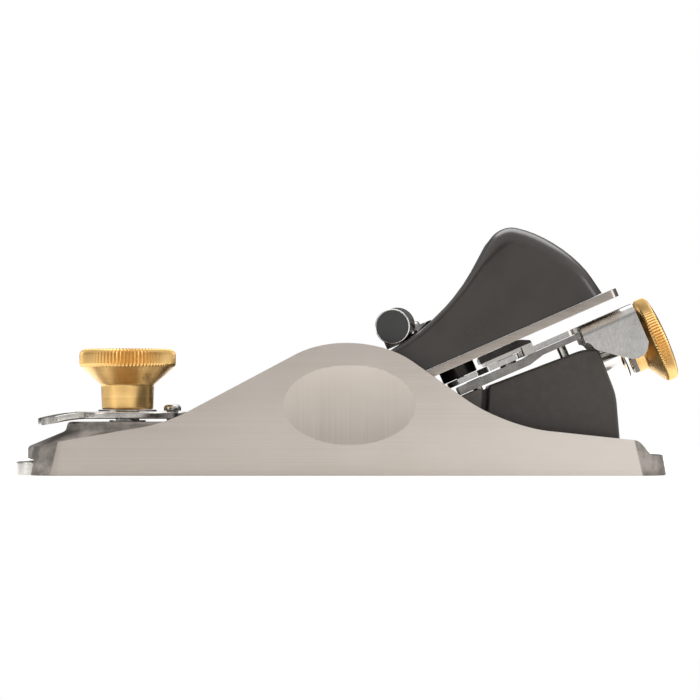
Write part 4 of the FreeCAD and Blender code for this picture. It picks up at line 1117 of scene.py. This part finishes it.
# camera, light and floor
view = {"distance": 700.0, "nearSide": -25.4, "aside": 0.86, "height": 14.7, "aimHeight": 30.8,
        "width": 171.5}
pickNothing()
bpy.ops.object.camera_add(location=onRow(view["aside"], view["nearSide"] - view["distance"], view["height"]))
camera = bpy.context.object
aim = onRow(view["aside"], view["nearSide"], view["aimHeight"])
camera.rotation_euler = (aim - camera.location).to_track_quat("-Z", "Y").to_euler()
camera.data.sensor_width = 36
camera.data.lens = 36 * view["distance"] / view["width"]
camera.data.clip_start = 0.01
bpy.context.scene.camera = camera
bpy.context.scene.view_settings.view_transform = "Standard"


def addLamp(name, spot, target, size, power):
    pickNothing()
    bpy.ops.object.light_add(type="AREA", location=spot)
    lamp = bpy.context.object
    lamp.name = name
    lamp.rotation_euler = (Vector(target) - Vector(spot)).to_track_quat("-Z", "Y").to_euler()
    lamp.data.shape = "RECTANGLE"
    lamp.data.size, lamp.data.size_y = size
    lamp.data.energy = power


addLamp("overheadSoftbox", (0.05, 0.3, 0.75), (0, 0, 0.02), (1.1, 0.5), 4)
addLamp("leftSoftbox", (-0.8, -0.45, 0.35), (-0.03, 0, 0.02), (0.3, 0.6), 1.3)
addLamp("rightSoftbox", (0.85, -0.3, 0.3), (0.03, 0, 0.03), (0.3, 0.6), 1.2)


class Sky(Finish):
    # the room as reflections see it; the camera sees plain white
    def __init__(self, name):
        self.world = bpy.data.worlds.new(name)
        self.world.use_nodes = True
        self.nodes, self.links = self.world.node_tree.nodes, self.world.node_tree.links
        self.nodes.clear()
        self.place = self.add("TexCoord", {}, {}, "Generated")
        self.x, self.y, self.z = [self.add("SeparateXYZ", {}, {0: self.place}, axis) for axis in "XYZ"]


room = {"front": 0.42, "slope": 1.1, "behind": 0.12, "ceiling": 0.8, "low": 0.45}
sky = Sky("paleRoom")
ahead = (sky.x * room["slope"] + room["front"]).atLeast(0.2).atMost(0.66)
level = ahead * sky.y.fade(0.1, -0.3) + sky.y.fade(-0.3, 0.1) * room["behind"]
level = level * (1 - sky.z.fade(0.35, 0.7)) + sky.z.fade(0.35, 0.7) * room["ceiling"]
level = level * sky.z.fade(-0.12, 0.0) + sky.z.fade(0.0, -0.12) * room["low"]
around = sky.add("Background", {}, {"Color": (1, 1, 1, 1), "Strength": level})
plain = sky.add("Background", {}, {"Color": (1, 1, 1, 1), "Strength": 1.0})
seen = sky.add("LightPath", {}, {}, "Is Camera Ray")
blend = sky.add("MixShader", {}, {0: seen, 1: around, 2: plain})
sky.feed(sky.add("OutputWorld", {}, {}, None), blend)
bpy.context.scene.world = sky.world

pickNothing()
bpy.ops.mesh.primitive_plane_add(size=1.1, location=(0, 0, -0.0001))
floor = bpy.context.object
floor.name = "paleFloor"
paleFloor = Finish("paleFloorPaint", {"Roughness": 0.9, "Specular IOR Level": 0.1, "Emission Strength": 0.5})
speckle = paleFloor.grain((30, 30, 30), 1.0, 2)
paleFloor.set("Base Color", paleFloor.tint(speckle, (250, 250, 250), (254, 254, 254)))
paleFloor.set("Emission Color", (1, 1, 1, 1))
floor.data.materials.append(paleFloor.material)
print("camera, light and floor set")
